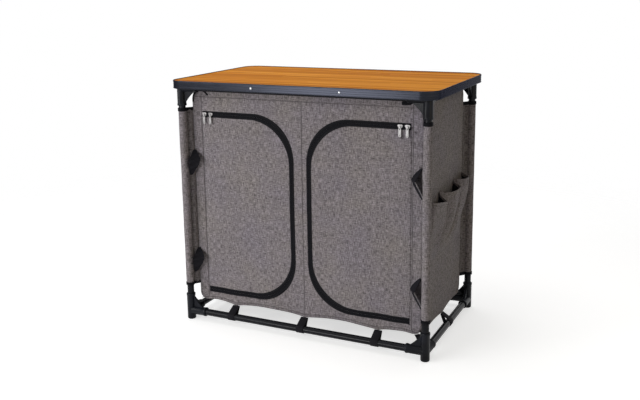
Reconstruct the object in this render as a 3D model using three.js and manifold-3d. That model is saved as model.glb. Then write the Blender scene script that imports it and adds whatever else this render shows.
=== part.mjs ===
// A folding camping cupboard: a tubular frame with moulded corners, a laminate tabletop in an
// aluminium edge, and a fabric cabinet with two zipped doors hung between the legs.
// Millimetres, +Z up, +X to the right and -Y to the front. The origin lies on the floor under
// the middle of the tabletop.
import * as THREE from 'three';
import { mergeVertices } from 'three/addons/utils/BufferGeometryUtils.js';
import Module from 'manifold-3d';

const wasm = await Module();
wasm.setup();

// Sizes shared by everything
const tableWidth = 880;
const tableDepth = 522;
const tableHeight = 800;
const legOverhang = 32;
const clearance = 0.3;
const overrun = 2;
const roundSegments = 16;
const halfTurn = Math.PI;
const quarterTurn = Math.PI / 2;

// Frame tubes and their moulded corners
const tubeRadius = 11;
const tubeWall = 1.2;
const lowerRailHeight = 30;
const upperRailDrop = 23;
const cornerRadius = 14;
const cornerReach = 59;
const armReach = 60;
const collarLength = 7;
const collarRise = 0.8;
const railSetIn = 20;
const boreFloor = 3;
const gussetThickness = 7;
const gussetReach = 51;
const gussetHeight = 54;
const gussetRootShare = 0.72;
const footRound = 4;

// Tabletop
const boardThickness = 6;
const edgeHeight = 26;
const edgeThickness = 10;
const edgeLip = 2;
const edgeBead = 1.4;
const edgeGroove = 0.7;
const edgeCornerRadius = 50;
const edgeGrooveCount = 3;
const edgeCornerSegments = 7;

// Fabric cabinet
const fabricThickness = 2;
const cabinetInsetX = 21.4;
const cabinetInsetY = 27.5;
const cabinetTopDrop = 4;
const hemHeight = 58;
const hemRise = 10;
const hemSteps = 6;
const panelTopRadius = 22;
const panelLowerRadius = 24;
const lowerCornerSteps = 5;
const boardPanelThickness = 3;
const floorRise = 14;
const shelfCount = 2;
const topMargin = 6;

// Leg sleeves with the wings that hold the cabinet
const sleeveRise = 29;
const sleeveDrop = 7;
const sleeveWall = 1.6;
const bindingHeight = 11;
const bindingRise = 1.2;
const wingThickness = 1.6;

// Doors and their zips
const hingeInset = 34.6;
const leftDoorInner = 35;
const rightDoorInner = 24;
const doorTopDrop = 80;
const doorRise = 45;
const doorRadius = 140;
const doorGap = 0.5;
const doorArcSegments = 9;
const tapeWidth = 7.6;
const tapeRise = 0.8;
const tapeSetBack = 2.5;
const sliderLength = 10;
const sliderHeight = 9;
const sliderDepth = 2.4;
const sliderRound = 2.4;
const sliderPitch = 22.5;
const leftSliderInset = 10.5;
const rightSliderInset = 12.5;
const bridgeBar = 0.9;
const bridgePost = 1.4;
const bridgeLift = 2.6;
const eyeWall = 1;
const eyeWidth = 4.6;
const tabWidth = 6.6;
const tabLength = 31;
const tabThickness = 1.2;
const tabNeckShare = 0.62;
const tabWindowShare = 0.42;

// Webbing: straps round the lower rails and loops at the front corners
const webbingThickness = 1.6;
const strapWidth = 25;
const strapSpacingShare = 0.3233;
const sideStrapPlace = 8;
const strapTabLength = 5;
const loopWidth = 38;
const loopEndWidth = 8;
const loopReach = 33;
const loopHeight = 94;
const upperLoopShare = 0.657;
const lowerLoopShare = 0.194;
const loopPeakShare = 0.36;
const loopSteps = 5;

// Pockets on the right side
const pocketMouthShare = 0.559;
const pocketFloorShare = 0.3;
const pocketSag = 5;
const pocketDepth = 33;
const pocketSteps = 8;
const pocketRows = 4;
const pocketSeam = 3;
const pocketEdge = 4.5;
const pocketWidthShares = [0.4, 0.4, 0.2];

// Places worked out from the sizes
const legX = tableWidth / 2 - legOverhang;
const legY = tableDepth / 2 - legOverhang;
const upperRailHeight = tableHeight - upperRailDrop;
const cabinetX = legX - cabinetInsetX;
const cabinetY = legY - cabinetInsetY;
const cabinetTop = tableHeight - edgeHeight - cabinetTopDrop;
const cabinetHeight = cabinetTop - hemHeight;
const sleeveBottom = lowerRailHeight + cornerReach + sleeveRise;
const sleeveTop = upperRailHeight - cornerReach - sleeveDrop;
const doorTop = cabinetTop - doorTopDrop;
const doorBottom = hemHeight + doorRise;
const upperLoopMiddle = hemHeight + cabinetHeight * upperLoopShare;
const lowerLoopMiddle = hemHeight + cabinetHeight * lowerLoopShare;
const pocketMouth = hemHeight + cabinetHeight * pocketMouthShare;
const pocketFloor = hemHeight + cabinetHeight * pocketFloorShare;
const strapSpacing = 2 * cabinetX * strapSpacingShare;
const innerX = cabinetX - fabricThickness - clearance;
const innerY = cabinetY - fabricThickness - clearance;
const hingeX = cabinetX - hingeInset;
const boardUnderside = upperRailHeight + cornerRadius + collarRise + clearance;
const floorHeight = hemHeight + floorRise;
const strapPlaces = [-strapSpacing, 0, strapSpacing];

// Helpers
const bare = (geometry) => {
  const copy = geometry.clone();
  copy.deleteAttribute('normal');
  copy.deleteAttribute('uv');
  return mergeVertices(copy);
};

const toSolid = (geometry) => {
  const welded = bare(geometry);
  return new wasm.Manifold(new wasm.Mesh({
    numProp: 3,
    vertProperties: new Float32Array(welded.attributes.position.array),
    triVerts: new Uint32Array(welded.index.array),
  }));
};

const geometryFrom = (positions, faces) => {
  const geometry = new THREE.BufferGeometry();
  geometry.setAttribute('position', new THREE.Float32BufferAttribute(positions, 3));
  geometry.setIndex(faces);
  return geometry;
};

const toGeometry = (solid) => {
  const mesh = solid.getMesh();
  return geometryFrom(mesh.vertProperties, Array.from(mesh.triVerts));
};

const joined = (geometries) => geometries.map(toSolid).reduce((sum, next) => sum.add(next));

const carved = (solid, geometries) => (
  geometries.map(toSolid).reduce((rest, next) => rest.subtract(next), solid)
);

// Triangles that close a ring of points: a fan from its first point
const fanCap = (ring) => {
  const faces = [];
  for (let at = 1; at < ring - 1; at += 1) {
    faces.push(0, at + 1, at);
  }
  return faces;
};

// The same for the ring of a thin sheet, whose second half runs back behind the first
const sheetCap = (ring) => {
  const faces = [];
  for (let at = 0; at < ring / 2 - 1; at += 1) {
    const [behind, next] = [ring - 1 - at, ring - 2 - at];
    faces.push(at, next, at + 1, at, behind, next);
  }
  return faces;
};

// A closed geometry from rows of points. Each row is a closed ring, and the rows run either
// round a closed path or between two capped ends.
const skin = (rows, isClosedPath, capOf = fanCap) => {
  const ring = rows[0].length;
  const points = rows.flat();
  const faces = [];
  const spans = isClosedPath ? rows.length : rows.length - 1;
  for (let row = 0; row < spans; row += 1) {
    const low = row * ring;
    const high = ((row + 1) % rows.length) * ring;
    for (let at = 0; at < ring; at += 1) {
      const after = (at + 1) % ring;
      faces.push(low + at, low + after, high + after, low + at, high + after, high + at);
    }
  }
  if (!isClosedPath) {
    const cap = capOf(ring);
    const last = (rows.length - 1) * ring;
    faces.push(...cap, ...cap.map((corner) => last + corner).reverse());
  }
  let volume = 0;
  for (let face = 0; face < faces.length; face += 3) {
    const [first, second, third] = [0, 1, 2].map((corner) => points[faces[face + corner]]);
    volume += first.dot(second.clone().cross(third));
  }
  if (volume < 0) {
    faces.reverse();
  }
  return geometryFrom(points.flatMap((point) => point.toArray()), faces);
};

// A round bar or a tube between two heights, on the Z axis
const bar = (radius, low, high) => {
  const geometry = new THREE.CylinderGeometry(radius, radius, high - low, roundSegments);
  geometry.rotateX(quarterTurn);
  geometry.translate(0, 0, (low + high) / 2);
  return geometry;
};

const turned = (profile) => {
  const points = profile.map(([radius, height]) => new THREE.Vector2(radius, height));
  const geometry = new THREE.LatheGeometry(points, roundSegments);
  geometry.rotateX(quarterTurn);
  return geometry;
};

const pipe = (length) => turned([
  [tubeRadius - tubeWall, -length / 2],
  [tubeRadius, -length / 2],
  [tubeRadius, length / 2],
  [tubeRadius - tubeWall, length / 2],
  [tubeRadius - tubeWall, -length / 2],
]);

const towardX = (geometry) => geometry.rotateY(quarterTurn);
const towardY = (geometry) => geometry.rotateX(-quarterTurn);

const shapeOf = (points, holes = []) => {
  const shape = new THREE.Shape(points.map(([x, y]) => new THREE.Vector2(x, y)));
  shape.holes = holes.map((hole) => new THREE.Path(hole.map(([x, y]) => new THREE.Vector2(x, y))));
  return shape;
};

const extruded = (shape, depth) => new THREE.ExtrudeGeometry(shape, { depth, bevelEnabled: false });

// A sheet that stands across the front: its outline is given as x and z, and it fills the
// given depth behind its front face.
const facing = (shape, depth, front) => {
  const geometry = extruded(shape, depth);
  geometry.rotateX(quarterTurn);
  geometry.translate(0, front + depth, 0);
  return geometry;
};

// The same for an outline in y and z that is extruded along X
const along = (shape, depth, start) => {
  const geometry = extruded(shape, depth);
  geometry.applyMatrix4(new THREE.Matrix4().makeBasis(
    new THREE.Vector3(0, 1, 0),
    new THREE.Vector3(0, 0, 1),
    new THREE.Vector3(1, 0, 0),
  ));
  geometry.translate(start, 0, 0);
  return geometry;
};

const block = (sizeX, sizeY, sizeZ, x, y, z) => {
  const geometry = new THREE.BoxGeometry(sizeX, sizeY, sizeZ);
  geometry.translate(x, y, z);
  return geometry;
};

const arc = (centreX, centreY, radius, from, to, segments) => {
  const points = [];
  for (let step = 0; step <= segments; step += 1) {
    const angle = from + ((to - from) * step) / segments;
    points.push([centreX + radius * Math.cos(angle), centreY + radius * Math.sin(angle)]);
  }
  return points;
};

const roundedRectangle = (halfX, halfY, radius, segments) => [0, 1, 2, 3].flatMap((corner) => {
  const signX = corner === 0 || corner === 3 ? 1 : -1;
  const signY = corner < 2 ? 1 : -1;
  const from = corner * quarterTurn;
  return arc(signX * (halfX - radius), signY * (halfY - radius), radius, from, from + quarterTurn, segments);
});

const cupboard = new THREE.Group();
const colours = {
  black: [0x24272b, 0.45, 0.1],
  tube: [0x26292e, 0.32, 0.6],
  edge: [0x2b2f36, 0.3, 0.8],
  wood: [0xb56a2a, 0.5, 0],
  cloth: [0x6c6662, 0.95, 0],
  lining: [0x4a4a4c, 0.9, 0],
  webbing: [0x1c1d20, 0.85, 0],
  metal: [0xc9ccd0, 0.25, 0.9],
};

const place = (name, geometry, look, position = [0, 0, 0]) => {
  const [color, roughness, metalness] = colours[look];
  const material = new THREE.MeshStandardMaterial({ color, roughness, metalness });
  const mesh = new THREE.Mesh(bare(geometry), material);
  mesh.name = name;
  mesh.position.set(...position);
  cupboard.add(mesh);
};

const sides = [['left', -1], ['right', 1]];
const ends = [['front', -1], ['back', 1]];

// Frame
// A corner moulding round the crossing of a leg and two rails. Heights are counted from the
// rails' axis, and the leg leaves it upwards (rise 1) or downwards (rise -1).
const cornerMoulding = (signX, signY, rise, heel) => {
  const footProfile = [
    [0, -heel],
    [cornerRadius - footRound, -heel],
    [cornerRadius - footRound * (1 - Math.SQRT1_2), -heel + footRound * (1 - Math.SQRT1_2)],
    [cornerRadius, -heel + footRound],
    [cornerRadius, cornerReach - collarLength],
    [cornerRadius + collarRise, cornerReach - collarLength],
    [cornerRadius + collarRise, cornerReach],
    [0, cornerReach],
  ];
  const placed = footProfile.map(([radius, height]) => [radius, height * rise]);
  const upright = turned(rise > 0 ? placed : placed.reverse());
  const arm = () => turned([
    [0, 0],
    [cornerRadius, 0],
    [cornerRadius, armReach - collarLength],
    [cornerRadius + collarRise, armReach - collarLength],
    [cornerRadius + collarRise, armReach],
    [0, armReach],
  ]);
  const armX = towardX(arm()).rotateZ(signX > 0 ? halfTurn : 0);
  const armY = towardY(arm()).rotateZ(signY > 0 ? halfTurn : 0);
  const root = cornerRadius * gussetRootShare;
  const gusset = shapeOf([
    [0, 0],
    [gussetReach, 0],
    [gussetReach, root],
    [root, gussetHeight],
    [0, gussetHeight],
  ]);
  const web = () => {
    const geometry = extruded(gusset, gussetThickness);
    geometry.translate(0, 0, -gussetThickness / 2);
    geometry.rotateX(quarterTurn);
    return rise > 0 ? geometry : geometry.rotateX(halfTurn);
  };
  const webX = web().rotateZ(signX > 0 ? halfTurn : 0);
  const webY = web().rotateZ(signY > 0 ? -quarterTurn : quarterTurn);
  const legFloor = cornerRadius + boreFloor;
  const legBore = rise > 0
    ? bar(tubeRadius + clearance, legFloor, cornerReach + overrun)
    : bar(tubeRadius + clearance, -cornerReach - overrun, -legFloor);
  const railBore = () => bar(tubeRadius + clearance, railSetIn - clearance, armReach + overrun);
  const boreX = towardX(railBore()).rotateZ(signX > 0 ? halfTurn : 0);
  const boreY = towardY(railBore()).rotateZ(signY > 0 ? halfTurn : 0);
  return toGeometry(carved(joined([upright, armX, armY, webX, webY]), [legBore, boreX, boreY]));
};

const legLow = lowerRailHeight + cornerRadius + boreFloor + clearance;
const legHigh = upperRailHeight - cornerRadius - boreFloor - clearance;
const cornerLevels = [
  ['lower', 1, lowerRailHeight, lowerRailHeight],
  ['upper', -1, cornerRadius, upperRailHeight],
];
for (const [endName, signY] of ends) {
  for (const [sideName, signX] of sides) {
    const corner = `${endName}_${sideName}`;
    const [x, y] = [signX * legX, signY * legY];
    for (const [levelName, rise, heel, height] of cornerLevels) {
      const moulding = cornerMoulding(signX, signY, rise, heel);
      place(`corner_${levelName}_${corner}`, moulding, 'black', [x, y, height]);
    }
    place(`leg_${corner}`, pipe(legHigh - legLow), 'tube', [x, y, (legLow + legHigh) / 2]);
  }
}
const frontRailLength = 2 * (legX - railSetIn);
const sideRailLength = 2 * (legY - railSetIn);
for (const [levelName, height] of [['lower', lowerRailHeight], ['upper', upperRailHeight]]) {
  for (const [endName, signY] of ends) {
    const rail = towardX(pipe(frontRailLength));
    place(`rail_${levelName}_${endName}`, rail, 'tube', [0, signY * legY, height]);
  }
  for (const [sideName, signX] of sides) {
    const rail = towardY(pipe(sideRailLength));
    place(`rail_${levelName}_${sideName}`, rail, 'tube', [signX * legX, 0, height]);
  }
}

// Tabletop
// The aluminium edge is one section carried round the table: fine grooves between two beads,
// a lip over the board's rim and a ledge under it. Each point gives its depth behind the
// outermost line and its height.
const ledge = boardUnderside - clearance;
const edgeLow = tableHeight - edgeHeight;
const edgeSection = () => {
  const points = [[edgeBead, edgeLow], [0, edgeLow + edgeBead]];
  const beadTop = edgeLow + 2 * edgeBead;
  const fieldTop = tableHeight - 2 * edgeBead;
  const pitch = (fieldTop - beadTop) / edgeGrooveCount;
  points.push([0, beadTop]);
  for (let groove = 0; groove < edgeGrooveCount; groove += 1) {
    const start = beadTop + groove * pitch;
    points.push([edgeGroove, start + pitch / 4], [edgeGroove, start + (3 * pitch) / 4], [0, start + pitch]);
  }
  points.push([0, tableHeight - edgeBead], [edgeBead, tableHeight], [edgeLip, tableHeight]);
  points.push([edgeLip, ledge], [edgeThickness, ledge], [edgeThickness, edgeLow]);
  return points;
};
const section = edgeSection();
const edgeRows = [0, 1, 2, 3].flatMap((corner) => {
  const signX = corner === 0 || corner === 3 ? 1 : -1;
  const signY = corner < 2 ? 1 : -1;
  const rows = [];
  for (let step = 0; step <= edgeCornerSegments; step += 1) {
    const angle = quarterTurn * (corner + step / edgeCornerSegments);
    rows.push(section.map(([inset, height]) => new THREE.Vector3(
      signX * (tableWidth / 2 - edgeCornerRadius) + (edgeCornerRadius - inset) * Math.cos(angle),
      signY * (tableDepth / 2 - edgeCornerRadius) + (edgeCornerRadius - inset) * Math.sin(angle),
      height,
    )));
  }
  return rows;
});
place('tabletop_edge', skin(edgeRows, true), 'edge');

const boardInset = edgeLip + clearance;
const boardOutline = roundedRectangle(
  tableWidth / 2 - boardInset,
  tableDepth / 2 - boardInset,
  edgeCornerRadius - boardInset,
  edgeCornerSegments,
);
const board = extruded(shapeOf(boardOutline), boardThickness);
board.translate(0, 0, boardUnderside);
place('tabletop_board', board, 'wood');

// Leg sleeves
// A bound tube of cloth round each leg, with a wing that runs to the cabinet's corner
const wingLength = Math.hypot(cabinetInsetX, cabinetInsetY) - clearance - wingThickness / 2;
const sleeve = (signX, signY) => {
  const inside = tubeRadius + clearance;
  const outside = inside + sleeveWall;
  const bound = outside + bindingRise;
  const cloth = turned([
    [inside, sleeveBottom],
    [bound, sleeveBottom],
    [bound, sleeveBottom + bindingHeight],
    [outside, sleeveBottom + bindingHeight],
    [outside, sleeveTop - bindingHeight],
    [bound, sleeveTop - bindingHeight],
    [bound, sleeveTop],
    [inside, sleeveTop],
    [inside, sleeveBottom],
  ]);
  const start = inside + sleeveWall / 2;
  const wing = block(
    wingLength - start,
    wingThickness,
    sleeveTop - sleeveBottom,
    (wingLength + start) / 2,
    0,
    (sleeveTop + sleeveBottom) / 2,
  );
  wing.rotateZ(Math.atan2(-signY * cabinetInsetY, -signX * cabinetInsetX));
  return toGeometry(joined([cloth, wing]));
};
for (const [endName, signY] of ends) {
  for (const [sideName, signX] of sides) {
    place(`sleeve_${endName}_${sideName}`, sleeve(signX, signY), 'cloth', [signX * legX, signY * legY, 0]);
  }
}

// Cabinet panels
// The lower hem hangs in shallow bays between the places where straps pull it down, and the
// panel's lower corners are round
const hem = (half, anchors) => {
  const stops = [-half, ...anchors, half];
  const points = [];
  for (let bay = 0; bay < stops.length - 1; bay += 1) {
    for (let step = 0; step < hemSteps; step += 1) {
      const share = step / hemSteps;
      const lift = hemRise * Math.sin(halfTurn * share);
      points.push([stops[bay] + (stops[bay + 1] - stops[bay]) * share, hemHeight + lift]);
    }
  }
  return points.filter(([x]) => Math.abs(x) < half - panelLowerRadius);
};
const panelOutline = (half, anchors) => {
  const [x, z] = [half - panelTopRadius, cabinetTop - panelTopRadius];
  const lower = hem(half, anchors);
  const [cornerX, cornerZ] = [half - panelLowerRadius, lower[0][1] + panelLowerRadius];
  const threeQuarters = 3 * quarterTurn;
  return [
    ...arc(-cornerX, cornerZ, panelLowerRadius, halfTurn, threeQuarters, lowerCornerSteps),
    ...lower,
    ...arc(cornerX, cornerZ, panelLowerRadius, threeQuarters, 2 * halfTurn, lowerCornerSteps),
    ...arc(x, z, panelTopRadius, 0, quarterTurn, hemSteps),
    ...arc(-x, z, panelTopRadius, quarterTurn, halfTurn, hemSteps),
  ];
};

// The outline of a door opening: straight at its hinge, round at its two free corners. It
// grows outwards by the given amount.
const doorOutline = (signX, inner, grow, hingeGrow) => {
  const radius = doorRadius + grow;
  const low = doorBottom - grow;
  const high = doorTop + grow;
  const centre = inner - grow + radius;
  const hinge = hingeX + hingeGrow;
  const lowerArc = arc(centre, low + radius, radius, halfTurn, 3 * quarterTurn, doorArcSegments);
  const upperArc = arc(centre, high - radius, radius, quarterTurn, halfTurn, doorArcSegments);
  const points = [[hinge, high], ...upperArc, ...lowerArc, [hinge, low]];
  return points.map(([x, z]) => [signX * x, z]);
};

// The half of the zip tape that lies along the outline, as a C-shaped band
const tapeBand = (signX, inner, from, to) => {
  const outer = doorOutline(signX, inner, to, -tapeSetBack);
  const inside = doorOutline(signX, inner, from, -tapeSetBack).reverse();
  return shapeOf([...outer, ...inside]);
};

const doors = [['left', -1, leftDoorInner, leftSliderInset], ['right', 1, rightDoorInner, rightSliderInset]];
const halfGap = doorGap / 2;
const frontFace = -cabinetY;
const tapeDepth = tapeRise + fabricThickness / 2;
const holes = doors.map(([, signX, inner]) => doorOutline(signX, inner, halfGap, halfGap));
const frontSheet = facing(shapeOf(panelOutline(cabinetX, strapPlaces), holes), fabricThickness, frontFace);
const frontTapes = doors.map(([, signX, inner]) => facing(
  tapeBand(signX, inner, halfGap, halfGap + tapeWidth),
  tapeDepth,
  frontFace - tapeRise,
));
place('panel_front', toGeometry(joined([frontSheet, ...frontTapes])), 'cloth');
place('panel_back', facing(
  shapeOf(panelOutline(cabinetX, strapPlaces)),
  fabricThickness,
  cabinetY - fabricThickness,
), 'cloth');
for (const [sideName, signX] of sides) {
  const start = signX > 0 ? cabinetX - fabricThickness : -cabinetX;
  const outline = panelOutline(innerY, [sideStrapPlace]);
  place(`panel_${sideName}`, along(shapeOf(outline), fabricThickness, start), 'cloth');
}

// Floor, divider and shelves
const innerHeight = cabinetTop - topMargin - floorHeight - boardPanelThickness;
const bayHeight = innerHeight / (shelfCount + 1);
place('floor', block(
  2 * innerX,
  2 * innerY,
  boardPanelThickness,
  0,
  0,
  floorHeight + boardPanelThickness / 2,
), 'lining');
const dividerLow = floorHeight + boardPanelThickness + clearance;
const dividerHigh = cabinetTop - topMargin;
place('divider', block(
  boardPanelThickness,
  2 * innerY,
  dividerHigh - dividerLow,
  0,
  0,
  (dividerLow + dividerHigh) / 2,
), 'lining');
const shelfWidth = innerX - boardPanelThickness / 2 - clearance;
for (const [sideName, signX] of sides) {
  for (let level = 1; level <= shelfCount; level += 1) {
    place(`shelf_${sideName}_${level}`, block(
      shelfWidth,
      2 * innerY,
      boardPanelThickness,
      signX * (innerX - shelfWidth / 2),
      0,
      floorHeight + boardPanelThickness + level * bayHeight,
    ), 'lining');
  }
}

// Doors
for (const [sideName, signX, inner] of doors) {
  const leaf = facing(shapeOf(doorOutline(signX, inner, -halfGap, -halfGap)), fabricThickness, frontFace);
  const band = tapeBand(signX, inner, -halfGap - tapeWidth, -halfGap);
  const tape = facing(band, tapeDepth, frontFace - tapeRise);
  place(`door_${sideName}`, toGeometry(joined([leaf, tape])), 'cloth');
}

// A zip slider: a rounded body with a bridge, and a pull tab that is rolled round the bridge's
// bar. Both are drawn with the tape's face at y 0.
const bodyBack = -clearance;
const barDepth = bodyBack - sliderDepth - bridgeLift;
const slider = () => {
  const outline = roundedRectangle(sliderLength / 2, sliderHeight / 2, sliderRound, 2);
  const body = facing(shapeOf(outline), sliderDepth, bodyBack - sliderDepth);
  const postHeight = bridgeLift + bridgeBar + sliderDepth / 2;
  const reach = eyeWidth / 2 + clearance + bridgePost / 2;
  const posts = [-1, 1].map((sign) => block(
    bridgePost,
    postHeight,
    2 * bridgeBar,
    sign * reach,
    bodyBack - sliderDepth / 2 - postHeight / 2,
    0,
  ));
  const rod = towardX(bar(bridgeBar, -reach, reach)).translate(0, barDepth, 0);
  return toGeometry(joined([body, ...posts, rod]));
};
const pullTab = () => {
  const eyeRadius = bridgeBar + clearance + eyeWall;
  const eye = towardX(bar(eyeRadius, -eyeWidth / 2, eyeWidth / 2));
  const neck = (tabWidth * tabNeckShare) / 2;
  const wide = tabWidth / 2;
  const foot = arc(0, -tabLength + wide, wide, halfTurn, 2 * halfTurn, hemSteps);
  const window = (tabWidth * tabWindowShare) / 2;
  const windowLow = -tabLength + wide + window;
  const windowHigh = windowLow + tabLength * tabWindowShare;
  const slot = [
    ...arc(0, windowHigh, window, 0, halfTurn, hemSteps),
    ...arc(0, windowLow, window, halfTurn, 2 * halfTurn, hemSteps),
  ];
  const [neckLow, shoulder] = [-eyeRadius - overrun, -2 * eyeRadius - overrun];
  const outline = [
    [neck, 0],
    [-neck, 0],
    [-neck, neckLow],
    [-wide, shoulder],
    ...foot,
    [wide, shoulder],
    [neck, neckLow],
  ];
  const plate = facing(shapeOf(outline, [slot]), tabThickness, -tabThickness / 2);
  const bore = towardX(bar(bridgeBar + clearance, -eyeWidth - overrun, eyeWidth + overrun));
  return toGeometry(carved(joined([eye, plate]), [bore]));
};
const tapeFace = frontFace - tapeRise;
for (const [sideName, signX, , inset] of doors) {
  for (const [order, name] of ['outer', 'inner'].entries()) {
    const x = signX * (hingeX - inset - order * sliderPitch);
    place(`slider_${sideName}_${name}`, slider(), 'metal', [x, tapeFace, doorTop]);
    place(`pull_${sideName}_${name}`, pullTab(), 'metal', [x, tapeFace + barDepth, doorTop]);
  }
}

// Straps round the lower rails
// The section is a drop: webbing laid round the rail, whose two ends meet at the hem. It is
// drawn with the rail's axis at the origin and the hem at (reach, rise).
const drop = (radius, reach, rise, length) => {
  const distance = Math.hypot(reach, rise);
  const heading = Math.atan2(rise, reach);
  const spread = Math.acos(radius / (distance * length));
  const tip = [reach * length, rise * length];
  return [tip, ...arc(0, 0, radius, heading + spread, heading - spread + 2 * halfTurn, roundSegments)];
};
const strapRise = hemHeight - clearance - lowerRailHeight;
const strap = (reach) => {
  const inside = tubeRadius + clearance;
  const distance = Math.hypot(reach, strapRise);
  const outer = drop(inside + webbingThickness, reach, strapRise, 1);
  const inner = drop(inside, reach, strapRise, 1 - strapTabLength / distance);
  return extruded(shapeOf(outer, [inner]), strapWidth);
};
const strapAcross = (signY) => {
  const reach = legY - cabinetY + fabricThickness / 2;
  const geometry = strap(reach);
  geometry.applyMatrix4(new THREE.Matrix4().makeBasis(
    new THREE.Vector3(0, 1, 0),
    new THREE.Vector3(0, 0, 1),
    new THREE.Vector3(1, 0, 0),
  ));
  geometry.translate(-strapWidth / 2, 0, 0);
  return signY < 0 ? geometry : geometry.rotateZ(halfTurn);
};
const strapAside = (signX) => {
  const reach = legX - cabinetX + fabricThickness / 2;
  const geometry = strap(reach);
  geometry.rotateX(quarterTurn);
  geometry.translate(0, strapWidth / 2, 0);
  return signX < 0 ? geometry : geometry.rotateZ(halfTurn);
};
for (const [order, name] of ['left', 'middle', 'right'].entries()) {
  place(`strap_front_${name}`, strapAcross(-1), 'webbing', [strapPlaces[order], -legY, lowerRailHeight]);
  place(`strap_back_${name}`, strapAcross(1), 'webbing', [strapPlaces[order], legY, lowerRailHeight]);
}
for (const [sideName, signX] of sides) {
  place(`strap_${sideName}`, strapAside(signX), 'webbing', [signX * legX, sideStrapPlace, lowerRailHeight]);
}

// Door loops
// Wide webbing sewn into the front corners by its narrow ends, standing out as a pointed bow.
// It is drawn with the corner at the origin, the bow along +X and its width along Y.
const loopBow = () => {
  const peak = loopHeight * (1 / 2 - loopPeakShare);
  const start = loopEndWidth / 2 + clearance * Math.SQRT2;
  const stations = [];
  for (let step = 0; step <= 2 * loopSteps; step += 1) {
    const isUpper = step <= loopSteps;
    const share = isUpper ? step / loopSteps : 2 - step / loopSteps;
    const swell = Math.sin(quarterTurn * share);
    const end = isUpper ? loopHeight / 2 : -loopHeight / 2;
    stations.push([
      start + (loopReach - start) * swell,
      end + (peak - end) * share,
      (loopEndWidth + (loopWidth - loopEndWidth) * swell) / 2,
    ]);
  }
  const rows = stations.map(([reach, height, half], order) => {
    const before = stations[Math.max(order - 1, 0)];
    const after = stations[Math.min(order + 1, stations.length - 1)];
    const length = Math.hypot(after[0] - before[0], after[1] - before[1]);
    const thick = webbingThickness / 2;
    const offset = [(-(after[1] - before[1]) / length) * thick, ((after[0] - before[0]) / length) * thick];
    return [
      new THREE.Vector3(reach + offset[0], -half, height + offset[1]),
      new THREE.Vector3(reach + offset[0], half, height + offset[1]),
      new THREE.Vector3(reach - offset[0], half, height - offset[1]),
      new THREE.Vector3(reach - offset[0], -half, height - offset[1]),
    ];
  });
  return skin(rows, false);
};
for (const [sideName, signX] of sides) {
  for (const [levelName, height] of [['upper', upperLoopMiddle], ['lower', lowerLoopMiddle]]) {
    const bow = loopBow().rotateZ(signX < 0 ? -quarterTurn / 2 : -quarterTurn - quarterTurn / 2);
    place(`loop_${levelName}_${sideName}`, bow, 'webbing', [signX * cabinetX, frontFace, height]);
  }
}

// Side pockets
// One sewn sheet forms the row: flat on the side panel at its seams and its lower hem, and
// standing out between them, most at the mouth.
const pocketBack = cabinetX + clearance;
const pocketRun = 2 * (innerY - pocketEdge);
const pocketSheet = () => {
  const columns = [];
  let seam = -pocketRun / 2;
  for (const share of pocketWidthShares) {
    const width = pocketRun * share;
    const half = width / 2 - pocketSeam;
    const depth = Math.min(pocketDepth, half);
    columns.push([seam, 0]);
    for (let step = 0; step <= pocketSteps; step += 1) {
      const angle = (halfTurn * step) / pocketSteps;
      columns.push([seam + width / 2 - half * Math.cos(angle), depth * Math.sin(angle)]);
    }
    seam += width;
  }
  columns.push([seam, 0]);
  const rows = [];
  for (let row = 0; row <= pocketRows; row += 1) {
    const share = row / pocketRows;
    const swell = Math.sin(quarterTurn * share);
    const front = [];
    const back = [];
    for (const [y, depth] of columns) {
      const sag = pocketSag * (depth / pocketDepth) * share;
      const z = pocketFloor + (pocketMouth - pocketFloor) * share - sag;
      const x = pocketBack + depth * swell;
      front.push(new THREE.Vector3(x + fabricThickness, y, z));
      back.unshift(new THREE.Vector3(x, y, z));
    }
    rows.push([...front, ...back]);
  }
  return rows;
};
place('pockets_right', skin(pocketSheet(), false, sheetCap), 'cloth');

export default cupboard;
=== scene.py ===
import math
import bpy
import bmesh
from mathutils import Matrix, Vector, noise
from mathutils.geometry import delaunay_2d_cdt


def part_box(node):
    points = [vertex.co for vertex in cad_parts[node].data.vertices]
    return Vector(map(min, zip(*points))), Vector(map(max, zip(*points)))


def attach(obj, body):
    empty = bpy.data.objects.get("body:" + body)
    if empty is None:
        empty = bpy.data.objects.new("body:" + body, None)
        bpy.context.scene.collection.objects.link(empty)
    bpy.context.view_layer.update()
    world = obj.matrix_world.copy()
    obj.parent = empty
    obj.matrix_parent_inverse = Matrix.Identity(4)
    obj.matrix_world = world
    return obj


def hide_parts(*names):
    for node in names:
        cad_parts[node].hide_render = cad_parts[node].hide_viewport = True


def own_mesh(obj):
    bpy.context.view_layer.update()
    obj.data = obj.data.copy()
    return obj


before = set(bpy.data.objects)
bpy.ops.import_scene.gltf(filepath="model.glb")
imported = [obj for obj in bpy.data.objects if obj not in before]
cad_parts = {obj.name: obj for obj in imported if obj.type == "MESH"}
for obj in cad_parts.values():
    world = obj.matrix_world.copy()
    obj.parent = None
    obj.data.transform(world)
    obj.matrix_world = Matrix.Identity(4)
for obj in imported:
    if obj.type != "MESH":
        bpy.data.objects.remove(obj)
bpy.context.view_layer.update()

scene = bpy.context.scene


# colours are chosen as screen levels and turned into scene values
def tone(red, green, blue):
    def value(level):
        part = level / 255
        return part / 12.92 if part <= 0.04045 else ((part + 0.055) / 1.055) ** 2.4
    return (value(red), value(green), value(blue), 1.0)


def smooth(low, high, value):
    # 0 at low and 1 at high, with a soft step between
    share = min(max((value - low) / (high - low), 0.0), 1.0)
    return share * share * (3 - 2 * share)


# camera: fitted to measured points of the cupboard in a 640 by 400 picture
camera = {
    "azimuth": 25.395, "elevation": 11.869, "roll": -0.768, "distance": 2.72496, "target": (-0.03408, 0.0, 0.52488),
    "focal": 830.17, "shift": -40.0, "width": 640, "sensor": 36, "near": 0.05, "far": 60,
}


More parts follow.
